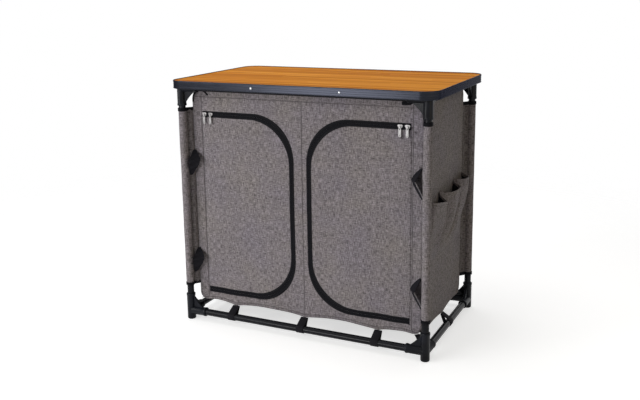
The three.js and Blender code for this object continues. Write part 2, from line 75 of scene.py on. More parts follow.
def makeCamera(values):
    azimuth, elevation, roll = (math.radians(values[key]) for key in ("azimuth", "elevation", "roll"))
    level = math.cos(elevation)
    back = Vector((math.sin(azimuth) * level, -math.cos(azimuth) * level, math.sin(elevation)))
    right = Vector((math.cos(azimuth), math.sin(azimuth), 0))
    up = back.cross(right)
    rolledRight = right * math.cos(roll) + up * math.sin(roll)
    rolledUp = up * math.cos(roll) - right * math.sin(roll)
    data = bpy.data.cameras.new("camera")
    data.sensor_width = values["sensor"]
    data.lens = values["focal"] * values["sensor"] / values["width"]
    data.shift_y = values["shift"] / values["width"]
    data.clip_start, data.clip_end = values["near"], values["far"]
    obj = bpy.data.objects.new("camera", data)
    turn = Matrix((rolledRight, rolledUp, back)).transposed().to_4x4()
    obj.matrix_world = Matrix.Translation(Vector(values["target"]) + back * values["distance"]) @ turn
    scene.collection.objects.link(obj)
    scene.camera = obj


makeCamera(camera)
print("camera placed")


# node helpers: a value that is a socket is linked, any other is set
def fillNode(tree, node, values):
    for key, value in values.items():
        if isinstance(value, bpy.types.NodeSocket):
            tree.links.new(value, node.inputs[key])
        else:
            node.inputs[key].default_value = value
    return node


def addNode(tree, kind, values=None, **settings):
    node = tree.nodes.new(kind)
    for key, value in settings.items():
        setattr(node, key, value)
    return fillNode(tree, node, values or {})


def mathNode(tree, operation, *values):
    return addNode(tree, "ShaderNodeMath", dict(enumerate(values)), operation=operation).outputs[0]


def plus(tree, first, second):
    return mathNode(tree, "ADD", first, second)


def times(tree, first, second):
    return mathNode(tree, "MULTIPLY", first, second)


def rangeNode(tree, value, low, high, start=0.0, end=1.0):
    values = {"Value": value, "From Min": low, "From Max": high, "To Min": start, "To Max": end}
    return addNode(tree, "ShaderNodeMapRange", values).outputs[0]


def mixColour(tree, share, first, second, blend="MIX"):
    node = addNode(tree, "ShaderNodeMix", {0: share, 6: first, 7: second}, data_type="RGBA", blend_type=blend)
    return node.outputs[2]


def scaledNoise(tree, vector, scale, detail, roughness):
    mapping = addNode(tree, "ShaderNodeMapping", {"Vector": vector, "Scale": scale})
    values = {"Vector": mapping.outputs[0], "Scale": 1.0, "Detail": detail, "Roughness": roughness}
    return addNode(tree, "ShaderNodeTexNoise", values).outputs["Fac"]


# floor, backdrop and light
stage = {
    "floor": 0.72, "glow": 0.63, "near": 1.1, "far": 2.6, "half": 3, "world": 0.18,
    # place, aim, size, power and tint of each lamp
    "lamps": {
        "keySoftbox": ((-3.0, -3.0, 1.9), (0, 0, 0.4), (1.8, 1.6), 59, (1, 1, 1)),
        "topSoftbox": ((-0.4, 0.2, 3.2), (0, 0, 0.5), (2.6, 2.2), 43, (1, 1, 1)),
        "lowSoftbox": ((-1.15, -3.2, 0.5), (0.2, 0, 0.7), (1.0, 0.9), 35, (1, 1, 1)),
        "sideSoftbox": ((3.2, -1.6, 1.6), (0.3, 0, 0.4), (1.4, 1.8), 9.0, (1.0, 0.81, 0.34)),
        "backSoftbox": ((0.6, 3.6, 2.0), (0, 0, 0.5), (1.8, 1.4), 7, (1, 1, 1)),
    },
}


def seenByCamera(tree):
    # 1 for camera, glossy and transmission rays, which see the white backdrop
    rays = addNode(tree, "ShaderNodeLightPath").outputs
    seen = mathNode(tree, "MAXIMUM", rays["Is Camera Ray"], rays["Is Glossy Ray"])
    return mathNode(tree, "MAXIMUM", seen, rays["Is Transmission Ray"])


def makeFloor(look):
    # pale near the cupboard, and clear further off, where the white backdrop takes over
    material = bpy.data.materials.new("studioFloor")
    material.use_nodes = True
    tree = material.node_tree
    tree.nodes.clear()
    matte = addNode(tree, "ShaderNodeBsdfDiffuse", {"Color": (look["floor"],) * 3 + (1,)})
    glow = addNode(tree, "ShaderNodeEmission", {"Strength": times(tree, seenByCamera(tree), look["glow"])})
    both = addNode(tree, "ShaderNodeAddShader", {0: matte.outputs[0], 1: glow.outputs[0]})
    source = addNode(tree, "ShaderNodeTexCoord").outputs["Object"]
    away = addNode(tree, "ShaderNodeVectorMath", {0: source}, operation="LENGTH").outputs["Value"]
    fade = addNode(tree, "ShaderNodeMapRange", {"Value": away, "From Min": look["near"], "From Max": look["far"]},
                   interpolation_type="SMOOTHSTEP")
    clear = addNode(tree, "ShaderNodeBsdfTransparent")
    pick = addNode(tree, "ShaderNodeMixShader", {0: fade.outputs[0], 1: both.outputs[0], 2: clear.outputs[0]})
    addNode(tree, "ShaderNodeOutputMaterial", {"Surface": pick.outputs[0]})
    half = look["half"]
    mesh = bpy.data.meshes.new("studioFloor")
    mesh.from_pydata([(-half, -half, 0), (half, -half, 0), (half, half, 0), (-half, half, 0)], [], [(0, 1, 2, 3)])
    mesh.materials.append(material)
    obj = bpy.data.objects.new("studioFloor", mesh)
    scene.collection.objects.link(obj)


def makeWorld(look):
    world = bpy.data.worlds.new("studio")
    world.use_nodes = True
    tree = world.node_tree
    light = fillNode(tree, tree.nodes["Background"], {"Color": (1, 1, 1, 1), "Strength": look["world"]})
    white = addNode(tree, "ShaderNodeBackground", {"Color": (1, 1, 1, 1), "Strength": 1.0})
    pick = addNode(tree, "ShaderNodeMixShader", {0: seenByCamera(tree), 1: light.outputs[0], 2: white.outputs[0]})
    fillNode(tree, tree.nodes["World Output"], {"Surface": pick.outputs[0]})
    scene.world = world


def makeLamp(name, place, aim, size, power, tint):
    data = bpy.data.lights.new(name, "AREA")
    data.shape = "RECTANGLE"
    data.size, data.size_y = size
    data.energy, data.color = power, tint
    obj = bpy.data.objects.new(name, data)
    direction = Vector(place) - Vector(aim)
    obj.matrix_world = Matrix.Translation(place) @ direction.to_track_quat("Z", "Y").to_matrix().to_4x4()
    scene.collection.objects.link(obj)


makeFloor(stage)
makeWorld(stage)
for name, values in stage["lamps"].items():
    makeLamp(name, *values)
scene.view_settings.view_transform = "Standard"
print("studio lit")


# node groups
def newGroup(name, inputs, outputs, kind="ShaderNodeTree"):
    group = bpy.data.node_groups.new(name, kind)
    for label, socketKind, default in inputs:
        socket = group.interface.new_socket(label, in_out="INPUT", socket_type=socketKind)
        if default is not None:
            socket.default_value = default
    for label, socketKind in outputs:
        group.interface.new_socket(label, in_out="OUTPUT", socket_type=socketKind)
    return group, group.nodes.new("NodeGroupInput").outputs


patternOutputs = [("Color", "NodeSocketColor"), ("Height", "NodeSocketFloat"), ("Roughness", "NodeSocketFloat")]


# melange cloth on a UV map in metres: long light and dark flecks both ways, over fine threads
melange = {
    # noise scales along the weft and along the warp, detail and roughness of each kind of thread
    "slubs": ((70, 560), (540, 60), 1.5, 0.55), "fine": ((260, 1900), (1900, 260), 1.0, 0.5),
    "rows": ((120, 6), (6, 120), 2.0, 0.5), "fineShare": 0.55, "rowShare": 0.15, "levels": (1.37, 2.03),
    "drift": 9.0, "driftReach": 0.003,
    # broad patches: noise scale, detail and roughness, and how much they change the tint
    "soft": ((6, 5, 1), 3.0, 0.6), "softTint": (0.94, 1.06), "warm": ((9, 11, 1), 2.0, 0.5), "warmTint": (0.98, 1.05),
    "patch": (0.3, 0.7), "threadHeight": 0.3, "slubHeight": 0.7, "roughLevels": (1.3, 2.1), "rough": (0.97, 0.84),
}


def makeMelangeGroup(values):
    tree, entry = newGroup("melangeWeave", [
        ("Vector", "NodeSocketVector", None),
        ("Dark", "NodeSocketColor", tone(84, 79, 79)),
        ("Light", "NodeSocketColor", tone(150, 143, 145)),
        ("Thread", "NodeSocketFloat", 3400.0),
    ], patternOutputs)
    # a little drift keeps the threads from running dead straight
    drift = addNode(tree, "ShaderNodeTexNoise", {"Vector": entry["Vector"], "Scale": values["drift"], "Detail": 1.0})
    reach = (values["driftReach"], values["driftReach"], 0)
    cloth = addNode(tree, "ShaderNodeVectorMath", {0: drift.outputs["Color"], 1: reach, 2: entry["Vector"]},
                    operation="MULTIPLY_ADD").outputs[0]

    def threads(weft, warp, detail, roughness):
        # flecks along the weft and along the warp
        return plus(tree, scaledNoise(tree, cloth, (*weft, 1), detail, roughness),
                    scaledNoise(tree, cloth, (*warp, 1), detail, roughness))

    slubs, fine, rows = (threads(*values[key]) for key in ("slubs", "fine", "rows"))
    thin = plus(tree, times(tree, fine, values["fineShare"]), times(tree, rows, values["rowShare"]))
    total = plus(tree, slubs, thin)
    base = mixColour(tree, rangeNode(tree, total, *values["levels"]), entry["Dark"], entry["Light"])
    # broad patches, a touch lighter or warmer
    soft, warm = (rangeNode(tree, scaledNoise(tree, entry["Vector"], *values[key]), *values["patch"], *values[tint])
                  for key, tint in (("soft", "softTint"), ("warm", "warmTint")))
    tint = addNode(tree, "ShaderNodeCombineColor", {0: soft, 1: soft, 2: warm}).outputs[0]
    parts = addNode(tree, "ShaderNodeSeparateXYZ", {0: cloth}).outputs
    across, down = (mathNode(tree, "SINE", times(tree, part, entry["Thread"])) for part in parts[:2])
    addNode(tree, "NodeGroupOutput", {
        "Color": mixColour(tree, 1.0, base, tint, "MULTIPLY"),
        "Height": plus(tree, times(tree, times(tree, across, down), values["threadHeight"]),
                       times(tree, slubs, values["slubHeight"])),
        "Roughness": rangeNode(tree, total, *values["roughLevels"], *values["rough"])})
    return tree


# woven tape and webbing on a UV map: u runs along it in metres, v across it
webbing = {
    "lean": 0.5, "cord": 1.3, "twillShare": 0.5, "cordShare": 0.5, "fluff": ((300, 300, 1), 3.0, 0.6), "middle": 0.5,
    "levels": (-0.8, 1.2),
}


def makeWebbingGroup(values):
    tree, entry = newGroup("webbingWeave", [
        ("Vector", "NodeSocketVector", None),
        ("Dark", "NodeSocketColor", tone(22, 22, 25)),
        ("Light", "NodeSocketColor", tone(48, 48, 53)),
        ("Pitch", "NodeSocketFloat", 2600.0),
    ], patternOutputs[:2])
    parts = addNode(tree, "ShaderNodeSeparateXYZ", {0: entry["Vector"]}).outputs
    along, across = (times(tree, part, entry["Pitch"]) for part in parts[:2])
    twill = mathNode(tree, "SINE", plus(tree, along, times(tree, across, values["lean"])))
    cord = mathNode(tree, "SINE", times(tree, across, values["cord"]))
    ribs = plus(tree, times(tree, twill, values["twillShare"]), times(tree, cord, values["cordShare"]))
    fluff = mathNode(tree, "SUBTRACT", scaledNoise(tree, entry["Vector"], *values["fluff"]), values["middle"])
    level = rangeNode(tree, plus(tree, ribs, fluff), *values["levels"])
    addNode(tree, "NodeGroupOutput", {"Color": mixColour(tree, level, entry["Dark"], entry["Light"]), "Height": ribs})
    return tree


# fine surface of painted or moulded parts, on Object coordinates
specks = {
    "detail": 2.0, "broad": 22.0, "broadDetail": 4.0, "broadRough": 0.62, "tint": (0.35, 0.65), "shine": (0.3, 0.7),
}


def makeSpeckleGroup(values):
    tree, entry = newGroup("speckle", [
        ("Vector", "NodeSocketVector", None),
        ("Grain", "NodeSocketFloat", 900.0),
        ("Dark", "NodeSocketColor", tone(30, 31, 35)),
        ("Light", "NodeSocketColor", tone(44, 46, 51)),
        ("Smooth", "NodeSocketFloat", 0.3),
        ("Rough", "NodeSocketFloat", 0.45),
    ], patternOutputs)
    fine = addNode(tree, "ShaderNodeTexNoise", {
        "Vector": entry["Vector"], "Scale": entry["Grain"], "Detail": values["detail"]}).outputs["Fac"]
    broad = addNode(tree, "ShaderNodeTexNoise", {
        "Vector": entry["Vector"], "Scale": values["broad"], "Detail": values["broadDetail"],
        "Roughness": values["broadRough"]}).outputs["Fac"]
    addNode(tree, "NodeGroupOutput", {
        "Color": mixColour(tree, rangeNode(tree, broad, *values["tint"]), entry["Dark"], entry["Light"]),
        "Height": fine,
        "Roughness": rangeNode(tree, broad, *values["shine"], entry["Smooth"], entry["Rough"])})
    return tree


melangeWeave = makeMelangeGroup(melange)
webbingWeave = makeWebbingGroup(webbing)
speckle = makeSpeckleGroup(specks)


# materials: depth in metres of each finish's relief, and what the materials of a kind share
finishes = {
    "cloth": {"depth": 0.0006, "bump": 0.55, "specular": 0.2, "sheenRoughness": 0.6},
    "webbing": {"depth": 0.0004, "roughness": 0.72},
    "speckle": {"depth": 0.0003},
}


def newMaterial(name):
    material = bpy.data.materials.new(name)
    material.use_nodes = True
    return material, material.node_tree


def finishMaterial(material, height, strength, distance, values):
    # the height goes into a bump, the values go to the surface's own sockets
    tree = material.node_tree
    bump = addNode(tree, "ShaderNodeBump", {"Height": height, "Strength": strength, "Distance": distance})
    fillNode(tree, tree.nodes["Principled BSDF"], {**values, "Normal": bump.outputs[0]})
    return material


def weaveMap(tree):
    return addNode(tree, "ShaderNodeUVMap", uv_map="weave").outputs["UV"]


def clothMaterial(name, dark, light, sheen=0.15):
    look = finishes["cloth"]
    material, tree = newMaterial(name)
    weave = addNode(tree, "ShaderNodeGroup", {"Vector": weaveMap(tree), "Dark": dark, "Light": light},
                    node_tree=melangeWeave).outputs
    return finishMaterial(material, weave["Height"], look["bump"], look["depth"], {
        "Base Color": weave["Color"], "Roughness": weave["Roughness"], "Specular IOR Level": look["specular"],
        "Sheen Weight": sheen, "Sheen Roughness": look["sheenRoughness"]})


def webbingMaterial(name, dark, light, pitch, specular=0.3, bump=0.5):
    material, tree = newMaterial(name)
    weave = addNode(tree, "ShaderNodeGroup", {"Vector": weaveMap(tree), "Dark": dark, "Light": light, "Pitch": pitch},
                    node_tree=webbingWeave).outputs
    return finishMaterial(material, weave["Height"], bump, finishes["webbing"]["depth"], {
        "Base Color": weave["Color"], "Roughness": finishes["webbing"]["roughness"], "Specular IOR Level": specular})


def speckleMaterial(name, dark, light, smoothest, roughest, grain, metallic=0.0, bump=0.25, specular=0.5):
    material, tree = newMaterial(name)
    spots = addNode(tree, "ShaderNodeGroup", {
        "Vector": addNode(tree, "ShaderNodeTexCoord").outputs["Object"], "Dark": dark, "Light": light,
        "Smooth": smoothest, "Rough": roughest, "Grain": grain}, node_tree=speckle).outputs
    return finishMaterial(material, spots["Height"], bump, finishes["speckle"]["depth"], {
        "Base Color": spots["Color"], "Roughness": spots["Roughness"], "Metallic": metallic,
        "Specular IOR Level": specular})


# laminate top: strips of bamboo along the table, each with its own shade and fine fibres
bamboo = {
    "strip": 0.0125, "piece": 0.62, "stagger": 7.3, "shade": 0.22, "fibre": 0.45, "broad": 0.66,
    "fibreNoise": ((5, 360, 1), 4.0, 0.65), "broadNoise": ((0.8, 24, 1), 3.0, 0.65),
    "bump": 0.12, "depth": 0.0003, "roughness": (0.36, 0.52), "specular": 0.002,
    "dark": (0.38, tone(152, 82, 14)), "middle": (0.66, tone(199, 121, 29)), "light": (0.96, tone(238, 168, 66)),
}


def laminateMaterial(name, values):
    material, tree = newMaterial(name)
    source = addNode(tree, "ShaderNodeTexCoord").outputs["Object"]
    parts = addNode(tree, "ShaderNodeSeparateXYZ", {0: source}).outputs
    row = mathNode(tree, "FLOOR", times(tree, parts[1], 1 / values["strip"]))
    stagger = addNode(tree, "ShaderNodeTexWhiteNoise", {"W": row}, noise_dimensions="1D").outputs["Value"]
    slide = plus(tree, times(tree, parts[0], 1 / values["piece"]), times(tree, stagger, values["stagger"]))
    cell = addNode(tree, "ShaderNodeCombineXYZ", {0: row, 1: mathNode(tree, "FLOOR", slide)}).outputs[0]
    shade = addNode(tree, "ShaderNodeTexWhiteNoise", {"Vector": cell}, noise_dimensions="2D").outputs["Value"]
    fibre = scaledNoise(tree, source, *values["fibreNoise"])
    broad = scaledNoise(tree, source, *values["broadNoise"])
    grain = plus(tree, times(tree, fibre, values["fibre"]), times(tree, broad, values["broad"]))
    ramp = addNode(tree, "ShaderNodeValToRGB", {"Fac": plus(tree, times(tree, shade, values["shade"]), grain)})
    stops = ramp.color_ramp.elements
    stops[0].position, stops[0].color = values["dark"]
    stops[1].position, stops[1].color = values["light"]
    stops.new(values["middle"][0]).color = values["middle"][1]
    return finishMaterial(material, fibre, values["bump"], values["depth"], {
        "Base Color": ramp.outputs["Color"], "Roughness": rangeNode(tree, fibre, 0.0, 1.0, *values["roughness"]),
        "Specular IOR Level": values["specular"]})


# brushed dark anodising, drawn along the edge's own length by a UV map
brushed = {
    "dark": tone(15, 16, 20), "light": tone(56, 58, 66), "tint": (0.43, 0.43, 0.45, 1), "metallic": 0.95,
    "lines": ((2.5, 420, 1), 4.0, 0.65), "smudge": ((9, 40, 1), 3.0, 0.5), "lineShare": 0.6, "smudgeShare": 0.4,
    "levels": (0.3, 0.7), "roughness": (0.20, 0.38), "bump": 0.15, "depth": 0.0002,
}


def brushedMaterial(name, values):
    material, tree = newMaterial(name)
    lines, smudge = (scaledNoise(tree, weaveMap(tree), *values[key]) for key in ("lines", "smudge"))
    both = plus(tree, times(tree, lines, values["lineShare"]), times(tree, smudge, values["smudgeShare"]))
    return finishMaterial(material, lines, values["bump"], values["depth"], {
        "Base Color": mixColour(tree, both, values["dark"], values["light"]), "Metallic": values["metallic"],
        "Roughness": rangeNode(tree, both, *values["levels"], *values["roughness"]),
        "Specular IOR Level": 0.0, "Specular Tint": values["tint"]})


clothGrey = clothMaterial("greyMelangeCloth", tone(60, 54, 55), tone(168, 160, 163))
liningCloth = clothMaterial("darkLining", tone(40, 40, 43), tone(66, 65, 68), 0.05)
# a darker copy of the grey cloth for the sleeve wings: painted shade
paintedShadeWingCloth = clothMaterial("paintedShadeWingMaterial", tone(50, 46, 47), tone(146, 139, 141))
# a pale cloth for a strip inside the right loops: painted light
paintedLightLoopCloth = clothMaterial("paintedLightLoopCloth", tone(96, 92, 93), tone(196, 190, 192), 0.1)
# a near-black cloth for the pockets' inner faces: painted shade
paintedShadePocketCloth = clothMaterial("paintedShadePocketCloth", tone(12, 12, 14), tone(30, 30, 33), 0.0)
# a darker cloth for the low folds beside the seams: painted shade
paintedShadeSeamCloth = clothMaterial("paintedShadeSeamCloth", tone(46, 42, 43), tone(122, 116, 118), 0.0)
webbingBlack = webbingMaterial("blackWebbing", tone(14, 13, 17), tone(34, 33, 39), 2600, 0.12)
tapeBlack = webbingMaterial("blackZipTape", tone(20, 20, 23), tone(32, 32, 36), 5200, 0.04, 0.15)
bindingBlack = webbingMaterial("blackBinding", tone(14, 14, 17), tone(28, 28, 32), 4200, 0.06)
threadGrey = speckleMaterial("greyThread", tone(70, 66, 66), tone(92, 88, 88), 0.6, 0.8, 3000)
threadBlack = speckleMaterial("blackThread", tone(18, 18, 20), tone(32, 32, 35), 0.5, 0.7, 3000)
mouldedBlack = speckleMaterial("mouldedBlack", tone(13, 14, 18), tone(26, 28, 35), 0.26, 0.4, 1400, specular=0.12)
tubeBlack = speckleMaterial("tubePaint", tone(14, 14, 18), tone(24, 25, 31), 0.18, 0.28, 2200, bump=0.12, specular=0.12)
zipMetal = speckleMaterial("zipMetal", tone(112, 110, 110), tone(158, 156, 156), 0.42, 0.56, 1800, 1.0, 0.1)
rivetMetal = speckleMaterial("rivetMetal", tone(186, 188, 192), tone(214, 216, 220), 0.2, 0.34, 2400, 1.0, 0.08)
edgeMetal = brushedMaterial("edgeMetal", brushed)
laminate = laminateMaterial("stripedLaminate", bamboo)
print("materials made")


# meshes
ends = (("front", -1), ("back", 1))
sides = (("left", -1), ("right", 1))
legPlaces = [(endName, sideName, signX, signY) for endName, signY in ends for sideName, signX in sides]


def placePiece(name, mesh, body, node=None):
    obj = bpy.data.objects.new(name, mesh)
    scene.collection.objects.link(obj)
    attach(obj, body)
    if node:
        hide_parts(node)
    return obj


def makePiece(name, points, faces, material, body="cabinet", node=None, uvs=None, sharp=38):
    mesh = bpy.data.meshes.new(name)
    mesh.from_pydata([tuple(point) for point in points], [], faces)
    if uvs:
        layer = mesh.uv_layers.new(name="weave")
        for loop in mesh.loops:
            layer.data[loop.index].uv = uvs[loop.vertex_index]
    mesh.materials.append(material)
    mesh.update()
    mesh.polygons.foreach_set("use_smooth", [True] * len(mesh.polygons))
    if sharp:
        mesh.set_sharp_from_angle(angle=math.radians(sharp))
    return placePiece(name, mesh, body, node)


def cleanMesh(mesh, merge=0.0):
    work = bmesh.new()
    work.from_mesh(mesh)
    if merge:
        bmesh.ops.remove_doubles(work, verts=work.verts, dist=merge)
    bmesh.ops.recalc_face_normals(work, faces=work.faces)
    work.to_mesh(mesh)
    work.free()
    mesh.update()


def netFaces(rows, columns, start=0, isRing=True, isClosed=False):
    # four-cornered faces between rows of points; a ring joins each row's ends, a closed net its last and first rows
    faces = []
    for row in range(rows if isClosed else rows - 1):
        low, high = start + row * columns, start + (row + 1) % rows * columns
        for step in range(columns if isRing else columns - 1):
            after = (step + 1) % columns
            faces.append((low + step, low + after, high + after, high + step))
    return faces


def endFaces(rows, columns, start=0):
    last = start + (rows - 1) * columns
    return [tuple(start + step for step in reversed(range(columns))), tuple(last + step for step in range(columns))]


def headings(path):
    # the direction of a line at each of its points, from the points beside it
    return [(path[min(index + 1, len(path) - 1)] - path[max(index - 1, 0)]).normalized() for index in range(len(path))]


# a turned shell: profile points of (radius, distance along the axis)
def turnedShell(points, faces, profile, origin, axis, segments):
    axis = Vector(axis).normalized()
    side = axis.orthogonal().normalized()
    other = axis.cross(side)
    start = len(points)
    for radius, along in profile:
        for step in range(segments):
            angle = 2 * math.pi * step / segments
            points.append(Vector(origin) + axis * along + (side * math.cos(angle) + other * math.sin(angle)) * radius)
    faces.extend(netFaces(len(profile), segments, start) + endFaces(len(profile), segments, start))


# corner mouldings: foot, leg socket, two arms with collars and two webs
corners = {
    "legX": 0.408, "legY": 0.229, "lowerHeight": 0.030, "upperHeight": 0.777, "tube": 0.011, "socket": 0.014,
    "reach": 0.059, "arm": 0.060, "collar": 0.007, "collarRise": 0.0008, "play": 0.0004, "mouthDepth": 0.004,
    "web": 0.007, "webReach": 0.051, "webHeight": 0.054, "webRoot": 0.010, "webHollow": 0.0022, "round": 0.0011,
    "footRound": 0.004, "footMiddle": 0.0005, "bevel": 0.0006, "segments": 44,
}


def webOutline(sizes):
    # the web's free edge is slightly hollow, as a moulding's is
    root, reach, top = sizes["webRoot"], sizes["webReach"], sizes["webHeight"]
    result = [(0, 0), (reach, 0), (reach, root)]
    for step in range(1, 10):
        share = step / 10
        sag = sizes["webHollow"] * math.sin(math.pi * share)
        result.append((reach + (root - reach) * share - sag, root + (top - root) * share - sag))
    return result + [(root, top), (0, top)]


def makeCorner(name, node, signX, signY, rise, sizes):
    points, faces = [], []
    height = sizes["lowerHeight"] if rise > 0 else sizes["upperHeight"]
    centre = Vector((signX * sizes["legX"], signY * sizes["legY"], height))
    radius, foot, edge = sizes["socket"], sizes["footRound"], sizes["round"]
    heel = sizes["lowerHeight"] if rise > 0 else radius

    def mouth(length):
        rim, bore = radius + sizes["collarRise"], sizes["tube"] + sizes["play"]
        return [(radius, length - sizes["collar"] - edge), (rim, length - sizes["collar"]), (rim, length - edge),
                (rim - edge, length), (bore, length), (bore, length - sizes["mouthDepth"])]

    bottom = [(sizes["footMiddle"], -heel), (radius - foot, -heel)]
    bottom += [(radius - foot + foot * math.sin(turn), -heel + foot - foot * math.cos(turn))
               for turn in (0.4, 0.8, 1.2, 1.57)]
    turnedShell(points, faces, bottom + mouth(sizes["reach"]), centre, (0, 0, rise), sizes["segments"])
    web, up = webOutline(sizes), Vector((0, 0, rise))
    for direction in ((-signX, 0, 0), (0, -signY, 0)):
        turnedShell(points, faces, [(radius, 0.0)] + mouth(sizes["arm"]), centre, direction, sizes["segments"])
        along = Vector(direction)
        across = Vector((0, 0, 1)).cross(along) * (sizes["web"] / 2)
        start = len(points)
        for side in (-1, 1):
            points.extend(centre + along * u + up * v + across * side for u, v in web)
        faces.extend(netFaces(2, len(web), start) + endFaces(2, len(web), start))
    obj = makePiece(name, points, faces, mouldedBlack, node=node, sharp=None)
    cleanMesh(obj.data)
    bevel = obj.modifiers.new("softEdge", "BEVEL")
    bevel.width, bevel.segments = sizes["bevel"], 2
    bevel.limit_method, bevel.angle_limit = "ANGLE", math.radians(50)
    bevel.harden_normals = False
    obj.data.set_sharp_from_angle(angle=math.radians(60))


for endName, sideName, signX, signY in legPlaces:
    for levelName, rise in (("lower", 1), ("upper", -1)):
        label = f"{levelName}_{endName}_{sideName}"
        makeCorner(f"moulding_{label}", f"corner_{label}", signX, signY, rise, corners)

tubes = {"legLow": 0.048, "legHigh": 0.759, "inset": 0.0205, "endRound": 0.0006, "segments": 40}


def makeTube(label, node, start, end):
    points, faces = [], []
    axis = Vector(end) - Vector(start)
    radius, length, endRound = corners["tube"], axis.length, tubes["endRound"]
    profile = [(radius - endRound, 0), (radius, endRound), (radius, length - endRound), (radius - endRound, length)]
    turnedShell(points, faces, profile, start, axis, tubes["segments"])
    makePiece(f"tube_{label}", points, faces, tubeBlack, node=node)


for endName, sideName, signX, signY in legPlaces:
    x, y = signX * corners["legX"], signY * corners["legY"]
    label = f"leg_{endName}_{sideName}"
    makeTube(label, label, (x, y, tubes["legLow"]), (x, y, tubes["legHigh"]))
for levelName in ("lower", "upper"):
    z = corners[levelName + "Height"]
    for endName, signY in ends:
        x, y = corners["legX"] - tubes["inset"], signY * corners["legY"]
        makeTube(f"{levelName}_{endName}", f"rail_{levelName}_{endName}", (-x, y, z), (x, y, z))
    for sideName, signX in sides:
        x, y = signX * corners["legX"], corners["legY"] - tubes["inset"]
        makeTube(f"{levelName}_{sideName}", f"rail_{levelName}_{sideName}", (x, -y, z), (x, y, z))
print("frame made")

# tabletop: a board set in an aluminium edge with grooves along its face
top = {
    "halfX": 0.440, "halfY": 0.261, "high": 0.800, "low": 0.774, "radius": 0.050, "steps": 22,
    "lip": 0.0020, "wall": 0.010, "ledge": 0.7918, "bead": 0.0016, "beadRoot": 0.0012, "beadSpan": 2.4,
    "groove": 0.0007, "grooves": 3, "land": 0.0016, "landDepth": 0.0002, "landLow": 0.0012, "landHigh": 0.0004,
    "fieldLow": 0.0006, "fieldHigh": 0.0010,
    "boardLow": 0.7921, "boardHigh": 0.7981, "boardPlay": 0.0002, "boardRound": 0.0006,
}


def cornerRows(halfX, halfY, radius, steps):
    rows = []
    for corner in range(4):
        signX = 1 if corner in (0, 3) else -1
        signY = 1 if corner < 2 else -1
        for step in range(steps + 1):
            angle = math.pi / 2 * (corner + step / steps)
            rows.append((signX * (halfX - radius), signY * (halfY - radius), angle))
    return rows


def edgeProfile(values):
    low, high, bead, groove = values["low"], values["high"], values["bead"], values["groove"]
    quarter = (0.0, 0.5, 1.0, 1.57)
    points = [(bead + values["beadRoot"], low)]
    points += [(bead - bead * math.sin(turn), low + bead - bead * math.cos(turn)) for turn in quarter]
    fieldLow, fieldHigh = low + values["beadSpan"] * bead, high - values["beadSpan"] * bead
    pitch = (fieldHigh - fieldLow) / values["grooves"]
    points.append((0, fieldLow - values["fieldLow"]))
    for order in range(values["grooves"]):
        start, end = fieldLow + order * pitch, fieldLow + order * pitch + pitch
        points += [(groove, start), (groove, end - values["land"])]
        if order < values["grooves"] - 1:
            points += [(values["landDepth"], end - values["landLow"]), (values["landDepth"], end - values["landHigh"])]
    points.append((0, fieldHigh - values["fieldHigh"]))
    points += [(bead - bead * math.cos(turn), high - bead + bead * math.sin(turn)) for turn in quarter]
    ledge = values["ledge"]
    return points + [(values["lip"], high), (values["lip"], ledge), (values["wall"], ledge), (values["wall"], low)]


def makeEdge(values):
    profile = edgeProfile(values)
    rows = cornerRows(values["halfX"], values["halfY"], values["radius"], values["steps"])
    points, uvs = [], []
    travel, before = 0.0, None
    for x, y, angle in rows:
        here = Vector((x + values["radius"] * math.cos(angle), y + values["radius"] * math.sin(angle)))
        travel += (here - before).length if before else 0.0
        before = here
        around = 0.0
        for index, (depth, height) in enumerate(profile):
            if index:
                around += math.dist(profile[index], profile[index - 1])
            reach = values["radius"] - depth
            points.append((x + reach * math.cos(angle), y + reach * math.sin(angle), height))
            uvs.append((travel, around))
    faces = netFaces(len(rows), len(profile), isClosed=True)
    cleanMesh(makePiece("edge_band", points, faces, edgeMetal, "tabletop", "tabletop_edge", uvs, 28).data)


def makeBoard(values):
    inset, rounding = values["lip"] + values["boardPlay"], values["boardRound"]
    low, high, radius = values["boardLow"], values["boardHigh"], values["radius"] - inset
    rows = cornerRows(values["halfX"] - inset, values["halfY"] - inset, radius, values["steps"])
    points = []
    for depth, height in ((rounding, low), (0, low + rounding), (0, high - rounding), (rounding, high)):
        points.extend((x + (radius - depth) * math.cos(angle), y + (radius - depth) * math.sin(angle), height)
                      for x, y, angle in rows)
    faces = netFaces(4, len(rows)) + endFaces(4, len(rows))
    makePiece("board_top", points, faces, laminate, "tabletop", "tabletop_board", sharp=30)


makeEdge(top)
makeBoard(top)
print("tabletop made")


